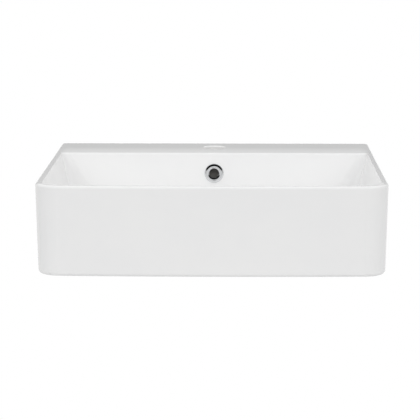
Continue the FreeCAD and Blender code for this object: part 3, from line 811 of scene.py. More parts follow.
@dataclass(frozen=True)
class TurnedMetal(Finish):
    """Bright or plain metal with lathe rings and a drift of tone."""

    ring_spacing: float
    ring_height: float
    trace_scale: float = 240.0
    ring_wear: float = 0.4
    tone_scale: ClassVar[float] = 45.0
    relief_strength: ClassVar[float] = 0.3
    constants: ClassVar[dict[str, float]] = {"Metallic": 1.0}

    def relief(self, bench: NodeBench, effects: Effects) -> tuple[Socket, Socket, float]:
        """Lathe rings about the drain, dulled by handling and dried water.

        Args:
            bench: bench of the material.
            effects: the shared node groups.

        Returns:
            A mask of what is dulled, the rings' height and their depth in metres.
        """
        centre = tuple(mount_place("waste_tail"))
        rings = bench.group(effects.turning, {"Centre": centre, "Spacing": self.ring_spacing})
        traces = bench.group(effects.traces, {"Scale": self.trace_scale})
        wear = bench.sum("MULTIPLY", rings["Mask"], self.ring_wear)
        return bench.sum("MAXIMUM", wear, traces["Mask"]), rings["Height"], self.ring_height


class FinishShelf:
    """Every finish of the washbasin, built once."""

    def __init__(self) -> None:
        """Build the shared effects and a material for each slot."""
        effects = Effects()
        finishes = {
            Slot.GLAZED_CERAMIC: Glaze(),
            Slot.TRIM_CHROME: TurnedMetal(
                "bright_chrome", (0.80, 0.81, 0.82), (0.76, 0.77, 0.785),
                roughness=0.05, dulled=0.09, ring_spacing=0.0005, ring_height=0.000004,
            ),
            Slot.WASTE_CHROME: TurnedMetal(
                "waste_chrome", (0.77, 0.78, 0.79), (0.70, 0.71, 0.72),
                roughness=0.09, dulled=0.17, ring_spacing=0.0005, ring_height=0.00001,
            ),
            Slot.PLAIN_BRASS: TurnedMetal(
                "turned_brass", (0.78, 0.60, 0.30), (0.62, 0.45, 0.21),
                roughness=0.20, dulled=0.36, ring_spacing=0.0006, ring_height=0.00003,
            ),
            Slot.BLACK_RUBBER: Moulded(
                "black_rubber", (0.024, 0.024, 0.026), (0.042, 0.042, 0.043),
                roughness=0.52, dulled=0.7, grain_scale=1100.0, grain_height=0.00006,
            ),
            Slot.WHITE_NYLON: Moulded(
                "white_nylon", (0.80, 0.79, 0.75), (0.76, 0.745, 0.69),
                roughness=0.34, dulled=0.48, grain_scale=900.0, grain_height=0.00004,
            ),
            Slot.SPRING_STEEL: PlatedSteel(
                "spring_steel", (0.58, 0.58, 0.59), (0.50, 0.50, 0.50), roughness=0.2, dulled=0.34
            ),
            Slot.ZINC_STEEL: PlatedSteel(
                "zinc_plate", (0.66, 0.67, 0.70), (0.62, 0.60, 0.55), roughness=0.28, dulled=0.46
            ),
        }
        self.slots = {slot: finish.material(effects) for slot, finish in finishes.items()}
        bare = RawCeramic("bare_fired_ceramic", (0.755, 0.752, 0.742), (0.70, 0.695, 0.682))
        # Painted shade: the duct's ceramic is much darker than the bare body and stands in for the shade
        # inside the overflow duct.
        duct = RawCeramic("duct_shade_ceramic", (0.44, 0.43, 0.41), (0.36, 0.35, 0.33))
        self.bare_ceramic = bare.material(effects)
        self.duct_shade_ceramic = duct.material(effects)

    def dress_node(self, node: bpy.types.Object, slot: Slot) -> None:
        """Put a slot's finish on a node of the frame."""
        node.data.materials.clear()
        node.data.materials.append(self.slots[slot])


@dataclass
class BasinCasting:
    """The ceramic casting: skirt, rim, deck, bowl, overflow duct, underside and holes."""

    rim_height: float
    drain: Vector
    width: float = 0.500
    depth: float = 0.420
    height: float = 0.130
    draft: float = 1.1
    bow_radius: float = 6.0
    front_corner: float = 0.035
    rear_corner: float = 0.008
    rim_edge: float = 0.004
    foot_edge: float = 0.005
    rim_width: float = 0.009
    rim_roll: float = 0.001
    deck_depth: float = 0.094
    deck_roll: float = 0.046
    deck_tilt: float = 5.0
    bowl_depth: float = 0.082
    side_slope: float = 17.0
    front_slope: float = 20.0
    rear_slope: float = 14.0
    bowl_rear_corner: float = 0.0125
    floor_corner: float = 0.042
    floor_blend: float = 0.026
    bowl_edge: float = 0.0045
    floor_fall: float = 0.006
    land_radius: float = 0.0375
    recess_radius: float = 0.0335
    seat_recess: float = 0.004
    drain_hole: float = 0.0225
    boss_radius: float = 0.042
    boss_drop: float = 0.124
    wall: float = 0.010
    back_wall: float = 0.014
    deck_thickness: float = 0.016
    hollow_drop: float = 0.058
    tap_hole: float = 0.0175
    tap_edge: float = 0.002
    tap_setback: float = 0.047
    overflow_drop: float = 0.033
    overflow_hole: float = 0.0115
    duct_width: float = 0.036
    duct_reach: float = 0.012
    duct_skin: float = 0.008
    duct_corner: float = 0.012
    duct_top: float = 0.0195
    port_top: float = 0.100
    port_base: float = 0.114
    access_width: float = 0.180
    access_drop: float = 0.050
    access_corner: float = 0.025
    fixing_spacing: float = 0.280
    fixing_hole: float = 0.010
    overrun: float = 0.002
    seat_edge: float = 0.001
    least_corner: float = 0.0003
    bare_margin: float = 0.0005
    edge_steps: int = 8
    wall_steps: int = 5
    blend_steps: int = 14
    floor_steps: int = 6
    duct_steps: int = 6
    access_steps: int = 12

    def __post_init__(self) -> None:
        """Set out the rim and the bowl's three kinds of wall."""
        self.outline = RimOutline(self.width / 2, self.depth, self.bow_radius, self.rim_height)
        self.side = BowlWall(self.rim_width, self.side_slope, self.width / 2, self.rim_roll)
        self.front = BowlWall(self.rim_width, self.front_slope, self.depth + self.drain.y, self.rim_roll)
        self.rear = BowlWall(self.deck_depth, self.rear_slope, -self.drain.y, self.deck_roll, self.deck_tilt)

    def rear_y(self, drop: float, growth: float = 0.0) -> float:
        """Y of the bowl's back wall at one drop, moved outwards by growth."""
        return -self.rear.inset(drop, growth)

    def skirt_level(self, reach: Reach, rear: Reach) -> Level:
        """Level of the outside with its corners drawn in as far as its sides.

        Args:
            reach: place at the sides and the front.
            rear: place at the rear.

        Returns:
            The level.
        """
        front_corner = self.front_corner - reach.inset
        rear_corner = max(self.least_corner, self.rear_corner - rear.inset)
        return Level(reach, reach, rear, front_corner, rear_corner)

    def edge_reach(self, angle: float, lean: float, foot: bool) -> Reach:
        """Point on the rounded edge at the rim or the foot.

        Args:
            angle: how far up round the edge, in degrees from level.
            lean: draft of the wall below or above it, in degrees.
            foot: True for the foot's edge.

        Returns:
            The point.
        """
        turn = math.radians(angle)
        tilt = math.radians(lean)
        if foot:
            start = self.height * math.tan(tilt) + self.foot_edge * (1.0 - math.sin(tilt)) / math.cos(tilt)
            drop = self.height - self.foot_edge + self.foot_edge * math.sin(turn)
            return Reach(start - self.foot_edge * math.cos(turn), drop)
        start = self.rim_edge * (1.0 + math.sin(tilt)) / math.cos(tilt)
        return Reach(start - self.rim_edge * math.cos(turn), self.rim_edge * (1.0 - math.sin(turn)))

    def outside_levels(self) -> list[Level]:
        """Levels of the outside from the foot up to the rim.

        Returns:
            The levels in order.
        """
        levels = []
        for foot, start in ((True, self.draft), (False, -self.draft)):
            for step in range(self.edge_steps + 1):
                rise = step / self.edge_steps
                share = 1.0 - rise if foot else rise
                reach = self.edge_reach(start + (90.0 - start) * share, self.draft, foot)
                levels.append(self.skirt_level(reach, self.edge_reach(90.0 * share, 0.0, foot)))
        return levels

    def wall_profile(self, wall: BowlWall, growth: float) -> list[Reach]:
        """Side view of a bowl wall from its mouth to the end of its floor blend.

        Args:
            wall: the wall.
            growth: how far it is moved outwards; 0 has the rounded mouth, else it starts plain.

        Returns:
            Points from the rim down, the same number for every wall.
        """
        slope = math.radians(wall.slope)
        points = []
        if growth == 0.0:
            tilt = math.radians(wall.tilt)
            bend = math.pi / 2 - slope - tilt
            turns = [tilt + bend * step / self.edge_steps for step in range(self.edge_steps + 1)]
            fall = wall.roll * math.tan(tilt) / 2
            end = fall + self.bowl_edge * (math.cos(tilt) - math.sin(slope))
            start = wall.inset(end) - self.bowl_edge * (math.cos(slope) - math.sin(tilt))
            for share in (0.0, 0.25, 0.5, 0.75):
                points.append(Reach(start - wall.roll * (1.0 - share), fall * share**2))
            for turn in turns:
                inset = start + self.bowl_edge * (math.sin(turn) - math.sin(tilt))
                points.append(Reach(inset, fall + self.bowl_edge * (math.cos(tilt) - math.cos(turn))))
        else:
            points.append(Reach(wall.inset(0.0, growth), 0.0))
        foot = self.bowl_depth + growth
        foot_inset = wall.inset(foot, growth)
        run = wall.middle - foot_inset - self.land_radius - growth
        fall = math.atan2(self.floor_fall, run)
        radius = self.floor_blend + growth
        turn = math.pi / 2 - slope - fall
        back = radius * math.tan(turn / 2)
        begin = Reach(foot_inset - back * math.sin(slope), foot - back * math.cos(slope))
        last = points[-1]
        for step in range(1, self.wall_steps):
            share = step / self.wall_steps
            inset = last.inset + (begin.inset - last.inset) * share
            points.append(Reach(inset, last.drop + (begin.drop - last.drop) * share))
        centre_inset = begin.inset + radius * math.cos(slope)
        centre_drop = begin.drop - radius * math.sin(slope)
        for step in range(self.blend_steps + 1):
            heading = slope + turn * step / self.blend_steps
            inset = centre_inset - radius * math.cos(heading)
            points.append(Reach(inset, centre_drop + radius * math.sin(heading)))
        return points

    def bowl_levels(self, growth: float) -> list[Level]:
        """Levels of the bowl from its mouth down to its floor.

        Args:
            growth: how far its walls are moved outwards.

        Returns:
            The levels in order.
        """
        top_corner = self.front_corner - self.rim_width
        profiles = [self.wall_profile(wall, growth) for wall in (self.side, self.front, self.rear)]
        levels = []
        for side, front, rear in zip(*profiles):
            share = min(1.0, side.drop / self.bowl_depth)
            slack = self.side.inset(side.drop, growth) - side.inset
            front_corner = top_corner + (self.floor_corner - top_corner) * share + growth + slack
            rear_corner = self.bowl_rear_corner + (self.floor_corner - self.bowl_rear_corner) * share
            levels.append(Level(side, front, rear, front_corner, rear_corner + growth + slack))
        return levels

    def drain_loop(self, spokes: list[Vector], radius: float, drop: float) -> list[Vector]:
        """Circle about the drain with a point on every spoke of the floor.

        Args:
            spokes: points whose bearings from the drain are kept.
            radius: radius of the circle.
            drop: its drop below the rim.

        Returns:
            The points.
        """
        points = []
        for spoke in spokes:
            bearing = math.atan2(spoke.y - self.drain.y, spoke.x)
            along = self.drain.y + radius * math.sin(bearing)
            points.append(Vector((radius * math.cos(bearing), along, self.rim_height - drop)))
        return points

    def floor_loops(self, edge: list[Vector], land: float, drop: float) -> list[list[Vector]]:
        """Loops of the floor from the end of its blend to the level land round the drain.

        Args:
            edge: the last loop of the blend.
            land: radius of the land.
            drop: the land's drop below the rim.

        Returns:
            The loops, the land's own edge last.
        """
        target = self.drain_loop(edge, land, drop)
        shares = [step / self.floor_steps for step in range(1, self.floor_steps + 1)]
        return [[start.lerp(end, share) for start, end in zip(edge, target)] for share in shares]

    def block(self) -> bpy.types.Object:
        """Outside, rim, bowl and drain hole as one closed skin over a level foot.

        Returns:
            The new mesh object.
        """
        loops = [self.outline.loop(level) for level in self.outside_levels() + self.bowl_levels(0.0)]
        spokes = loops[-1]
        land_drop = self.bowl_depth + self.floor_fall
        loops += self.floor_loops(spokes, self.land_radius, land_drop)
        seat = land_drop + self.seat_recess
        edge = self.seat_edge
        rounds = [(self.recess_radius + edge, land_drop)]
        for angle in (30.0, 60.0, 90.0):
            turn = math.radians(angle)
            radius = self.recess_radius + edge * (1.0 - math.sin(turn))
            rounds.append((radius, land_drop + edge * (1.0 - math.cos(turn))))
        rounds += [(self.recess_radius, seat), (self.drain_hole + edge, seat)]
        rounds += [(self.drain_hole, seat + edge), (self.drain_hole, self.height)]
        loops += [self.drain_loop(spokes, radius, drop) for radius, drop in rounds]
        return skin("basin_casting", loops, ring=True)

    def grown_bowl(self) -> bpy.types.Object:
        """Outside of the bowl's wall as a closed form.

        Returns:
            The new mesh object.
        """
        loops = [self.outline.loop(level) for level in self.bowl_levels(self.wall)]
        loops += self.floor_loops(
            loops[-1], self.land_radius + self.wall, self.bowl_depth + self.floor_fall + self.wall
        )
        return skin("grown_bowl", loops)

    def duct_casing(self) -> bpy.types.Object:
        """Rib that houses the overflow duct behind and under the bowl.

        Returns:
            The new mesh object.
        """
        half = self.duct_width / 2 + self.duct_skin
        growth = self.wall + self.duct_reach + self.duct_skin
        corner = self.duct_corner
        top = self.duct_top - self.duct_skin
        turns = [math.radians(90.0 * step / self.duct_steps) for step in range(self.duct_steps + 1)]
        bends = [self.boss_drop - corner + corner * math.sin(turn) for turn in turns]
        loops = []
        for drop in [top, *bends]:
            into = max(0.0, drop - self.boss_drop + corner)
            far = self.rear_y(drop, growth) - corner + math.sqrt(corner**2 - into**2)
            plan = arch(half, self.drain.y, far, corner, self.duct_steps)
            loops.append([Vector((x, y, self.rim_height - drop)) for x, y in plan])
        return skin("duct_casing", loops)

    def hollow(self) -> bpy.types.Object:
        """Open space under the deck and between the skirt and the bowl.

        Returns:
            The carving tool.
        """
        levels = []
        for drop in (self.height + self.overrun, self.hollow_drop):
            lean = drop * tangent(self.draft) + self.wall
            reach = Reach(lean, drop)
            rear = Reach(self.back_wall, drop)
            levels.append(Level(reach, reach, rear, self.front_corner - lean, self.rear_corner))
        low = skin("underside_hollow", [self.outline.loop(level) for level in levels])
        half = self.width / 2 - self.height * tangent(self.draft) - self.wall - self.overrun / 10
        foot = self.rim_height - self.height - self.overrun / 2
        near = self.rear_y(self.hollow_drop)
        far = -self.back_wall - self.overrun / 10
        corners = [(-half, near), (half, near), (half, far), (-half, far)]
        rise = Vector((0.0, 0.0, self.rim_height - self.deck_thickness - foot))
        deck = prism("deck_hollow", [Vector((x, y, foot)) for x, y in corners], rise)
        boss_foot = Vector((0.0, self.drain.y, self.rim_height - self.boss_drop))
        boss_top = Vector((0.0, self.drain.y, self.rim_height - self.bowl_depth))
        boss = rod("drain_boss", self.boss_radius, boss_foot, boss_top, steps=96)
        kept = [self.grown_bowl(), self.duct_casing(), boss]
        carve(low, [(Cut.JOIN, deck), *[(Cut.TAKE, form) for form in kept]])
        return low

    def tap_tool(self) -> bpy.types.Object:
        """Tap hole with its rounded upper edge.

        Returns:
            The carving tool.
        """
        top = self.rim_height
        profile = [(self.tap_hole, top - self.deck_thickness - self.overrun)]
        for angle in (0.0, 14.0, 28.0, 42.0, 56.0, 70.0, 82.0):
            turn = math.radians(angle)
            radius = self.tap_hole + self.tap_edge * (1.0 - math.cos(turn))
            profile.append((radius, top - self.tap_edge * (1.0 - math.sin(turn))))
        flare, above = 1.2, 0.05
        profile.append((self.tap_hole + self.tap_edge * flare, top + self.tap_edge * above))
        centre = Vector((0.0, -self.tap_setback, 0.0))
        loops = [[centre + point for point in circle(radius, height, 96)] for radius, height in profile]
        return skin("tap_hole", loops)

    def overflow_tool(self) -> bpy.types.Object:
        """Round hole through the bowl's back wall for the overflow.

        Returns:
            The carving tool.
        """
        slope = math.radians(self.rear_slope)
        inwards = Vector((0.0, -math.cos(slope), math.sin(slope)))
        centre = Vector((0.0, self.rear_y(self.overflow_drop), self.rim_height - self.overflow_drop))
        start = centre - inwards * (self.wall + self.overrun)
        end = centre + inwards * self.overrun
        return rod("overflow_hole", self.overflow_hole, start, end, steps=72)

    def duct_tool(self) -> bpy.types.Object:
        """Water way from the overflow hole down to the drain.

        Returns:
            The carving tool.
        """
        near = self.wall
        far = self.wall + self.duct_reach
        profile = [
            (self.rear_y(self.duct_top, near), self.duct_top),
            (self.rear_y(self.port_top, near), self.port_top),
            (self.drain.y, self.port_top),
            (self.drain.y, self.port_base),
            (self.rear_y(self.port_base, far), self.port_base),
            (self.rear_y(self.duct_top, far), self.duct_top),
        ]
        side = [Vector((-self.duct_width / 2, y, self.rim_height - drop)) for y, drop in profile]
        return prism("overflow_duct", side, Vector((self.duct_width, 0.0, 0.0)))

    def access_tool(self) -> bpy.types.Object:
        """Arched opening in the back wall.

        Returns:
            The carving tool.
        """
        top = self.rim_height - self.access_drop
        foot = self.rim_height - self.height - self.overrun
        start = -self.back_wall - self.overrun
        edge = arch(self.access_width / 2, foot, top, self.access_corner, self.access_steps)
        travel = Vector((0.0, self.overrun - start, 0.0))
        return prism("access_opening", [Vector((x, start, z)) for x, z in edge], travel)

    def fixing_tools(self) -> list[bpy.types.Object]:
        """Two round holes through the back wall.

        Returns:
            The carving tools.
        """
        tools = []
        for side in (-1.0, 1.0):
            start = Vector((side * self.fixing_spacing / 2, -self.back_wall - self.overrun, 0.0))
            end = Vector((start.x, self.overrun, 0.0))
            tools.append(rod("fixing_hole", self.fixing_hole, start, end, steps=48))
        return tools

    def build(self, shelf: FinishShelf) -> bpy.types.Object:
        """Carve the casting, dress it and set it on the frame.

        Args:
            shelf: the finishes.

        Returns:
            The finished piece.
        """
        glaze = shelf.slots[Slot.GLAZED_CERAMIC]
        casting = self.block()
        glazed = [self.tap_tool(), self.overflow_tool()]
        duct = self.duct_tool()
        bare = [self.hollow(), self.access_tool(), *self.fixing_tools()]
        for tool in [casting, *glazed]:
            tool.data.materials.append(glaze)
        for tool in bare:
            tool.data.materials.append(shelf.bare_ceramic)
        # The duct's walls get the darkened ceramic, painted shade inside the water way.
        duct.data.materials.append(shelf.duct_shade_ceramic)
        carve(casting, [(Cut.TAKE, tool) for tool in [*glazed, *bare, duct]])
        polish(casting)
        self.wipe_glaze(casting, shelf)
        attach(casting, Body.BASIN.value)
        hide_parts("basin_body")
        return casting

    def wipe_glaze(self, casting: bpy.types.Object, shelf: FinishShelf) -> None:
        """Leave the back, the foot and the tap hole's wall bare, where glaze would stick or crack; in the tap
        hole the darker bare body is also painted shade.

        Args:
            casting: the carved piece.
            shelf: the finishes.
        """
        bare = casting.data.materials.find(shelf.bare_ceramic.name)
        foot = self.rim_height - self.height
        square, upright = 0.99, 0.1
        for face in casting.data.polygons:
            on_back = face.normal.y > square and face.center.y > -self.bare_margin
            on_foot = face.normal.z < -square and face.center.z < foot + self.bare_margin
            # Painted shade: the tap hole's wall takes the darker bare body, which stands in for the shade
            # inside the hole.
            off_tap = math.hypot(face.center.x, face.center.y + self.tap_setback)
            tap_wall_shade = off_tap < self.tap_hole and abs(face.normal.z) < upright
            if on_back or on_foot or tap_wall_shade:
                face.material_index = bare


@dataclass(frozen=True)
class Bar:
    """A straight bar outwards from an axis: its start, end and width, and its underside and top."""

    start: float
    end: float
    width: float
    low: float
    high: float


@dataclass
class WasteFitting:
    """The waste: rim, plug seat, slotted barrel, threaded tail and the cartridge's bridge."""

    drain: Vector
    flange_top: float
    tail_end: float
    flange_radius: float = 0.032
    flange_thickness: float = 0.0035
    flange_edge: float = 0.0016
    seat_width: float = 0.0035
    bore: float = 0.018
    barrel: float = 0.0204
    thread_crest: float = 0.02095
    thread_depth: float = 0.0011
    thread_pitch: float = 0.002309
    thread_top: float = -0.062
    nut_base: float = -0.0755
    tail_top: float = -0.077
    relief: float = 0.0009
    chamfer: float = 0.001
    broken_edge: float = 0.0003
    slot_count: int = 4
    slot_width: float = 0.015
    slot_top: float = -0.036
    slot_base: float = -0.048
    arm_count: int = 3
    arm_width: float = 0.004
    arm_reach: float = 0.019025
    bridge_top: float = -0.061913
    bridge_base: float = -0.068913
    hub_radius: float = 0.0085
    hub_bore: float = 0.0041
    overrun: float = 0.001
    crease: float = 58.0
    steps: int = 96

    def shell(self) -> bpy.types.Object:
        """Flange, barrel and tail as one turned skin about the Z axis.

        Returns:
            The new mesh object.
        """
        tail = Thread(self.thread_pitch, self.thread_depth, self.tail_end + self.chamfer, self.tail_top)
        body = Thread(self.thread_pitch, self.thread_depth, self.nut_base, self.thread_top)
        groove = self.thread_crest - self.relief
        underside = self.flange_top - self.flange_thickness
        corners = [
            Corner(self.bore, self.tail_end, self.broken_edge),
            Corner(self.thread_crest - self.chamfer, self.tail_end, self.broken_edge),
            *[Corner(self.thread_crest, height) for height in tail.heights()],
            Corner(groove, self.tail_top),
            Corner(groove, self.nut_base),
            *[Corner(self.thread_crest, height) for height in body.heights()],
            Corner(self.barrel, self.thread_top),
            Corner(self.barrel, underside),
            Corner(self.flange_radius, underside, self.broken_edge),
            Corner(self.flange_radius, self.flange_top, self.flange_edge),
            Corner(self.bore + self.seat_width, self.flange_top, self.broken_edge),
            Corner(self.bore, self.flange_top - self.seat_width, self.broken_edge),
        ]
        view = turn_corners(corners)
        loops = [circle(radius, height, self.steps, (tail, body)) for radius, height in view]
        return skin("waste_fitting", loops, ring=True)

    def fan(self, name: str, count: int, bar: Bar) -> list[bpy.types.Object]:
        """Equal bars set evenly about the axis.

        Args:
            name: name of the new objects.
            count: how many.
            bar: the first of them, towards the user's right.

        Returns:
            The new objects.
        """
        half = bar.width / 2
        plan = [(bar.start, -half), (bar.end, -half), (bar.end, half), (bar.start, half)]
        outline = [Vector((x, y, bar.low)) for x, y in plan]
        bars = []
        for step in range(count):
            piece = prism(name, outline, Vector((0.0, 0.0, bar.high - bar.low)))
            piece.data.transform(Matrix.Rotation(math.tau * step / count, 4, "Z"))
            bars.append(piece)
        return bars

    def bridge(self) -> bpy.types.Object:
        """Hub on three arms that reach into the barrel's wall.

        Returns:
            The new mesh object.
        """
        low = Vector((0.0, 0.0, self.bridge_base))
        high = Vector((0.0, 0.0, self.bridge_top))
        over = Vector((0.0, 0.0, self.overrun))
        hub = rod("waste_bridge", self.hub_radius, low, high)
        arm = Bar(0.0, self.arm_reach, self.arm_width, self.bridge_base, self.bridge_top)
        arms = self.fan("bridge_arm", self.arm_count, arm)
        hole = rod("hub_bore", self.hub_bore, low - over, high + over)
        carve(hub, [*[(Cut.JOIN, arm) for arm in arms], (Cut.TAKE, hole)])
        return hub

    def build(self, shelf: FinishShelf) -> bpy.types.Object:
        """Turn and slot the waste, dress it and set it on the frame.

        Args:
            shelf: the finishes.

        Returns:
            The finished piece.
        """
        waste = self.shell()
        inside = self.bore - self.seat_width
        slot = Bar(inside, self.flange_radius, self.slot_width, self.slot_base, self.slot_top)
        slots = self.fan("barrel_slot", self.slot_count, slot)
        carve(waste, [*[(Cut.TAKE, tool) for tool in slots], (Cut.JOIN, self.bridge())])
        waste.data.transform(Matrix.Translation((self.drain.x, self.drain.y, 0.0)))
        polish(waste, self.crease)
        shelf.dress_node(waste, Slot.WASTE_CHROME)
        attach(waste, Body.BASIN.value)
        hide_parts("waste_body")
        return waste


@dataclass
class WallStuds:
    """Two wall studs: a machine thread for the nut, a plain shoulder and a coarse thread for the wall."""

    spacing: float = 0.280
    nut_end: float = -0.0345
    shoulder: float = -0.001
    plain_end: float = 0.006
    taper: float = 0.051
    point: float = 0.060
    nut_radius: float = 0.0045
    nut_pitch: float = 0.0015
    nut_depth: float = 0.0006
    wall_radius: float = 0.005
    wall_pitch: float = 0.0042
    wall_depth: float = 0.0012
    wall_steepness: float = 3.2
    wall_steps: int = 16
    point_radius: float = 0.0012
    chamfer: float = 0.0007
    crease: float = 62.0
    steps: int = 40

    def stud(self, middle: float) -> bpy.types.Object:
        """One stud along the Y axis.

        Args:
            middle: where it stands across the basin.

        Returns:
            The new mesh object.
        """
        nut_top = self.shoulder - self.nut_pitch
        nut = Thread(self.nut_pitch, self.nut_depth, self.nut_end + self.chamfer, nut_top)
        wall_top = self.point - self.wall_pitch / 2
        wall = Thread(self.wall_pitch, self.wall_depth, self.plain_end, wall_top, self.wall_steepness)
        view = [(self.nut_radius - self.chamfer, self.nut_end)]
        view += [(self.nut_radius, height) for height in nut.heights()]
        view += [(self.nut_radius, self.shoulder), (self.wall_radius, self.shoulder)]
        fall = (self.wall_radius - self.point_radius) / (self.point - self.taper)
        for height in wall.heights(self.wall_steps):
            view.append((self.wall_radius - max(0.0, height - self.taper) * fall, height))
        view.append((self.point_radius, self.point))
        loops = [circle(radius, height, self.steps, (nut, wall)) for radius, height in view]
        stud = skin("wall_studs", loops)
        place = Matrix.Translation((middle, 0.0, 0.0)) @ Matrix.Rotation(-math.pi / 2, 4, "X")
        stud.data.transform(place)
        return stud

    def build(self, shelf: FinishShelf) -> bpy.types.Object:
        """Cut both studs, dress them and set them on the frame.

        Args:
            shelf: the finishes.

        Returns:
            The finished piece.
        """
        studs = self.stud(-self.spacing / 2)
        carve(studs, [(Cut.JOIN, self.stud(self.spacing / 2))])
        polish(studs, self.crease)
        shelf.dress_node(studs, Slot.ZINC_STEEL)
        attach(studs, Body.BASIN.value)
        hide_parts("fixing_studs")
        return studs


@dataclass
class ReturnSpring:
    """Open coil that lifts the plug, built at one fixed length."""

    drain: Vector
    low: float
    high: float
    travel: float = 0.008
    coil_radius: float = 0.00685
    wire_radius: float = 0.00055
    turns: int = 5
    steps_per_turn: int = 32
    sides: int = 10

    def section(self, share: float) -> list[Vector]:
        """Points round the wire at one place along the coil.

        Args:
            share: how far along the coil, from 0 to 1.

        Returns:
            The points.
        """
        angle = math.tau * self.turns * share
        rise = self.high - self.low - 2.0 * self.wire_radius
        outwards = Vector((math.cos(angle), math.sin(angle), 0.0))
        around = Vector((-math.sin(angle), math.cos(angle), 0.0)) * math.tau * self.turns * self.coil_radius
        heading = (around + Vector((0.0, 0.0, rise))).normalized()
        aside = heading.cross(outwards)
        centre = Vector((self.drain.x, self.drain.y, self.low + self.wire_radius + rise * share))
        centre += outwards * self.coil_radius
        turns = [math.tau * side / self.sides for side in range(self.sides)]
        return [centre + self.wire_radius * (outwards * math.cos(t) + aside * math.sin(t)) for t in turns]

    def build(self, shelf: FinishShelf) -> bpy.types.Object:
        """Wind the coil, dress it and set it on the frame.

        Args:
            shelf: the finishes.

        Returns:
            The finished piece.
        """
        steps = self.turns * self.steps_per_turn
        spring = skin("return_spring", [self.section(step / steps) for step in range(steps + 1)])
        spring.data.shade_smooth()
        shelf.dress_node(spring, Slot.SPRING_STEEL)
        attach(spring, Body.BASIN.value)
        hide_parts("cartridge_spring")
        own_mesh(spring)
        return spring


@dataclass(frozen=True)
class SoftLight:
    """A broad soft patch of the surround that lights the piece."""

    bearing: float
    height: float
    strength: float

    def towards(self) -> tuple[float, float, float]:
        """Direction of its middle, its bearing counted from straight ahead to the user's right.

        Returns:
            A vector of length 1.
        """
        turn = math.radians(self.bearing)
        rise = math.radians(self.height)
        return (math.sin(turn) * math.cos(rise), -math.cos(turn) * math.cos(rise), math.sin(rise))


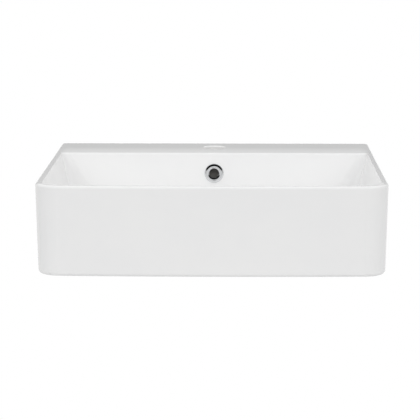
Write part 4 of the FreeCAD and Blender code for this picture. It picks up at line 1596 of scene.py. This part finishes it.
@dataclass
class Studio:
    """Camera, soft light and floor round the washbasin."""

    camera_place: Vector = field(default_factory=lambda: Vector((0.0329, -2.7678, 0.4691)))
    camera_pitch: float = 79.4583
    camera_yaw: float = 0.8462
    lens: float = 146.72
    sensor: float = 36.0
    floor_height: float = -0.785
    floor_radius: float = 1.2
    floor_middle: float = -0.2
    floor_fade: tuple[float, float] = (0.5, 0.97)
    floor_tone: float = 0.86
    floor_mottle: float = 0.01
    lights: tuple[SoftLight, ...] = (
        SoftLight(0.0, 58.0, 1.08),
        SoftLight(180.0, 40.0, 0.91),
        SoftLight(72.0, 24.0, 0.74),
        SoftLight(-72.0, 24.0, 0.74),
    )
    light_span: tuple[float, float] = (0.45, 1.0)
    floor_glow: float = 0.43
    glow_span: tuple[float, float] = (0.1, -0.3)
    mirror_ahead: float = 0.75
    mirror_aside: float = 0.52
    mirror_behind: float = 0.19
    mirror_overhead: float = 0.004
    mirror_roof: float = 0.5
    aside_span: tuple[float, float] = (0.35, 0.8)
    behind_span: tuple[float, float] = (0.55, 0.93)
    roof_span: tuple[float, float] = (0.25, 0.6)
    overhead_span: tuple[float, float] = (0.36, 0.56)
    backdrop_span: tuple[float, float] = (0.03, 0.125)
    softbox: SoftLight = SoftLight(16.5, 22.0, 5.2)
    softbox_away: float = 2.6
    softbox_size: tuple[float, float] = (1.25, 1.4)
    softbox_aim: tuple[float, float, float] = (0.0, -0.22, 0.0)

    def build(self) -> None:
        """Set up the whole studio."""
        self.set_camera()
        self.set_world()
        self.lay_floor()
        for side in (-1.0, 1.0):
            bearing = side * self.softbox.bearing
            self.hang_lamp("softbox", SoftLight(bearing, self.softbox.height, self.softbox.strength))

    def set_camera(self) -> None:
        """Stand the camera where the photograph was taken from."""
        sight = bpy.data.cameras.new("photo_camera")
        sight.sensor_width = self.sensor
        sight.lens = self.lens
        camera = bpy.data.objects.new("photo_camera", sight)
        camera.location = self.camera_place
        camera.rotation_euler = (math.radians(self.camera_pitch), 0.0, math.radians(self.camera_yaw))
        bpy.context.scene.collection.objects.link(camera)
        bpy.context.scene.camera = camera

    def set_world(self) -> None:
        """Light from high in front, a white backdrop for the eye and a dim room for mirrors."""
        world = bpy.data.worlds.new("studio_surround")
        bpy.context.scene.world = world
        world.use_nodes = True
        bench = NodeBench(world.node_tree)
        heading = bench.place("TexCoord").outputs["Generated"]
        across, inwards, up = bench.place("SeparateXYZ", {0: heading}).outputs
        lit = bench.span(up, *self.glow_span, 0.0, self.floor_glow)
        for light in self.lights:
            facing = bench.place("VectorMath", {0: heading, 1: light.towards()}, operation="DOT_PRODUCT")
            patch = bench.span(facing.outputs["Value"], *self.light_span, 0.0, light.strength)
            lit = bench.sum("ADD", lit, patch)
        sideways = bench.sum("ABSOLUTE", across)
        aside = bench.span(sideways, *self.aside_span, self.mirror_ahead, self.mirror_aside)
        behind = bench.span(inwards, *self.behind_span, 0.0, 1.0)
        room = bench.blend(behind, aside, (self.mirror_behind,) * 3)
        roof = bench.span(inwards, *self.roof_span, self.mirror_overhead, self.mirror_roof)
        roofed = bench.blend(bench.span(up, *self.overhead_span, 0.0, 1.0), room, roof)
        mirrored = bench.blend(bench.span(up, *self.backdrop_span, 1.0, 0.0), roofed, WHITE)
        glossy = bench.place("LightPath").outputs["Is Glossy Ray"]
        shown = bench.blend(bench.seen(), bench.blend(glossy, lit, mirrored), WHITE)
        surround = bench.place("Background", {"Color": shown, "Strength": 1.0})
        bench.place("OutputWorld", {"Surface": surround.outputs[0]})

    def lay_floor(self) -> None:
        """Lay a pale round floor that fades into the white surround."""
        middle = Vector((0.0, self.floor_middle, self.floor_height))
        edge = [middle + point for point in circle(self.floor_radius, 0.0, 96)]
        mesh = bpy.data.meshes.new("studio_floor")
        mesh.from_pydata(edge, [], [tuple(range(len(edge)))])
        floor = bpy.data.objects.new("studio_floor", mesh)
        bpy.context.scene.collection.objects.link(floor)
        material, bench = new_material("pale_floor")
        place = bench.place("TexCoord").outputs["Object"]
        away = bench.place("VectorMath", {0: place, 1: tuple(middle)}, operation="DISTANCE")
        start, end = (share * self.floor_radius for share in self.floor_fade)
        fade = bench.span(away.outputs["Value"], start, end, 0.0, 1.0)
        grain = bench.place("TexNoise", {"Vector": place, "Scale": 30.0}).outputs["Fac"]
        tones = (self.floor_tone - self.floor_mottle, self.floor_tone + self.floor_mottle)
        cloth = bench.place("BsdfDiffuse", {"Color": bench.span(grain, 0.3, 0.7, *tones)})
        white = bench.place("Emission", {"Color": WHITE, "Strength": 1.0})
        faded = bench.place("MixShader", {0: fade, 1: cloth.outputs[0], 2: white.outputs[0]})
        both = bench.place("MixShader", {0: bench.seen(), 1: cloth.outputs[0], 2: faded.outputs[0]})
        clear = bench.place("BsdfTransparent")
        below = bench.place("NewGeometry").outputs["Backfacing"]
        sheet = bench.place("MixShader", {0: below, 1: both.outputs[0], 2: clear.outputs[0]})
        bench.place("OutputMaterial", {"Surface": sheet.outputs[0]})
        mesh.materials.append(material)

    def hang_lamp(self, name: str, light: SoftLight) -> None:
        """Hang one soft oblong lamp that faces the bowl.

        Args:
            name: the lamp's name.
            light: its direction, and its power in watts as its strength.
        """
        softbox = bpy.data.lights.new(name, "AREA")
        softbox.shape = "RECTANGLE"
        softbox.size, softbox.size_y = self.softbox_size
        softbox.energy = light.strength
        lamp = bpy.data.objects.new(name, softbox)
        towards = Vector(light.towards())
        lamp.location = Vector(self.softbox_aim) + towards * self.softbox_away
        lamp.rotation_euler = towards.to_track_quat("Z", "Y").to_euler()
        lamp.visible_glossy = False
        bpy.context.scene.collection.objects.link(lamp)


def dress_frame(shelf: FinishShelf) -> None:
    """Put a finish on every node of the frame that is shown as it is.

    Args:
        shelf: the finishes.
    """
    for part in frame["record"]["subparts"]:
        node = frame["nodes"][part["node"]]
        shelf.dress_node(node, Slot(part["material_slot"]))
        log.info("dressed %s with %s", part["node"], part["material_slot"])


def main() -> None:
    """Build the washbasin's looks in order."""
    logging.basicConfig(level=logging.INFO, format="%(name)s: %(message)s")
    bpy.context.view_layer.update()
    bpy.context.scene.view_settings.view_transform = "Standard"
    Studio().build()
    shelf = FinishShelf()
    dress_frame(shelf)
    drain = mount_place("waste_tail")
    casting = BasinCasting(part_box("basin_body")[1].z, drain).build(shelf)
    tail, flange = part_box("waste_body")
    waste = WasteFitting(drain, flange.z, tail.z).build(shelf)
    studs = WallStuds().build(shelf)
    low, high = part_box("cartridge_spring")
    spring = ReturnSpring(drain, low.z, high.z).build(shelf)
    for piece in (casting, waste, studs, spring):
        log.info("built %s with %d faces", piece.name, len(piece.data.polygons))


if __name__ == "__main__":
    main()
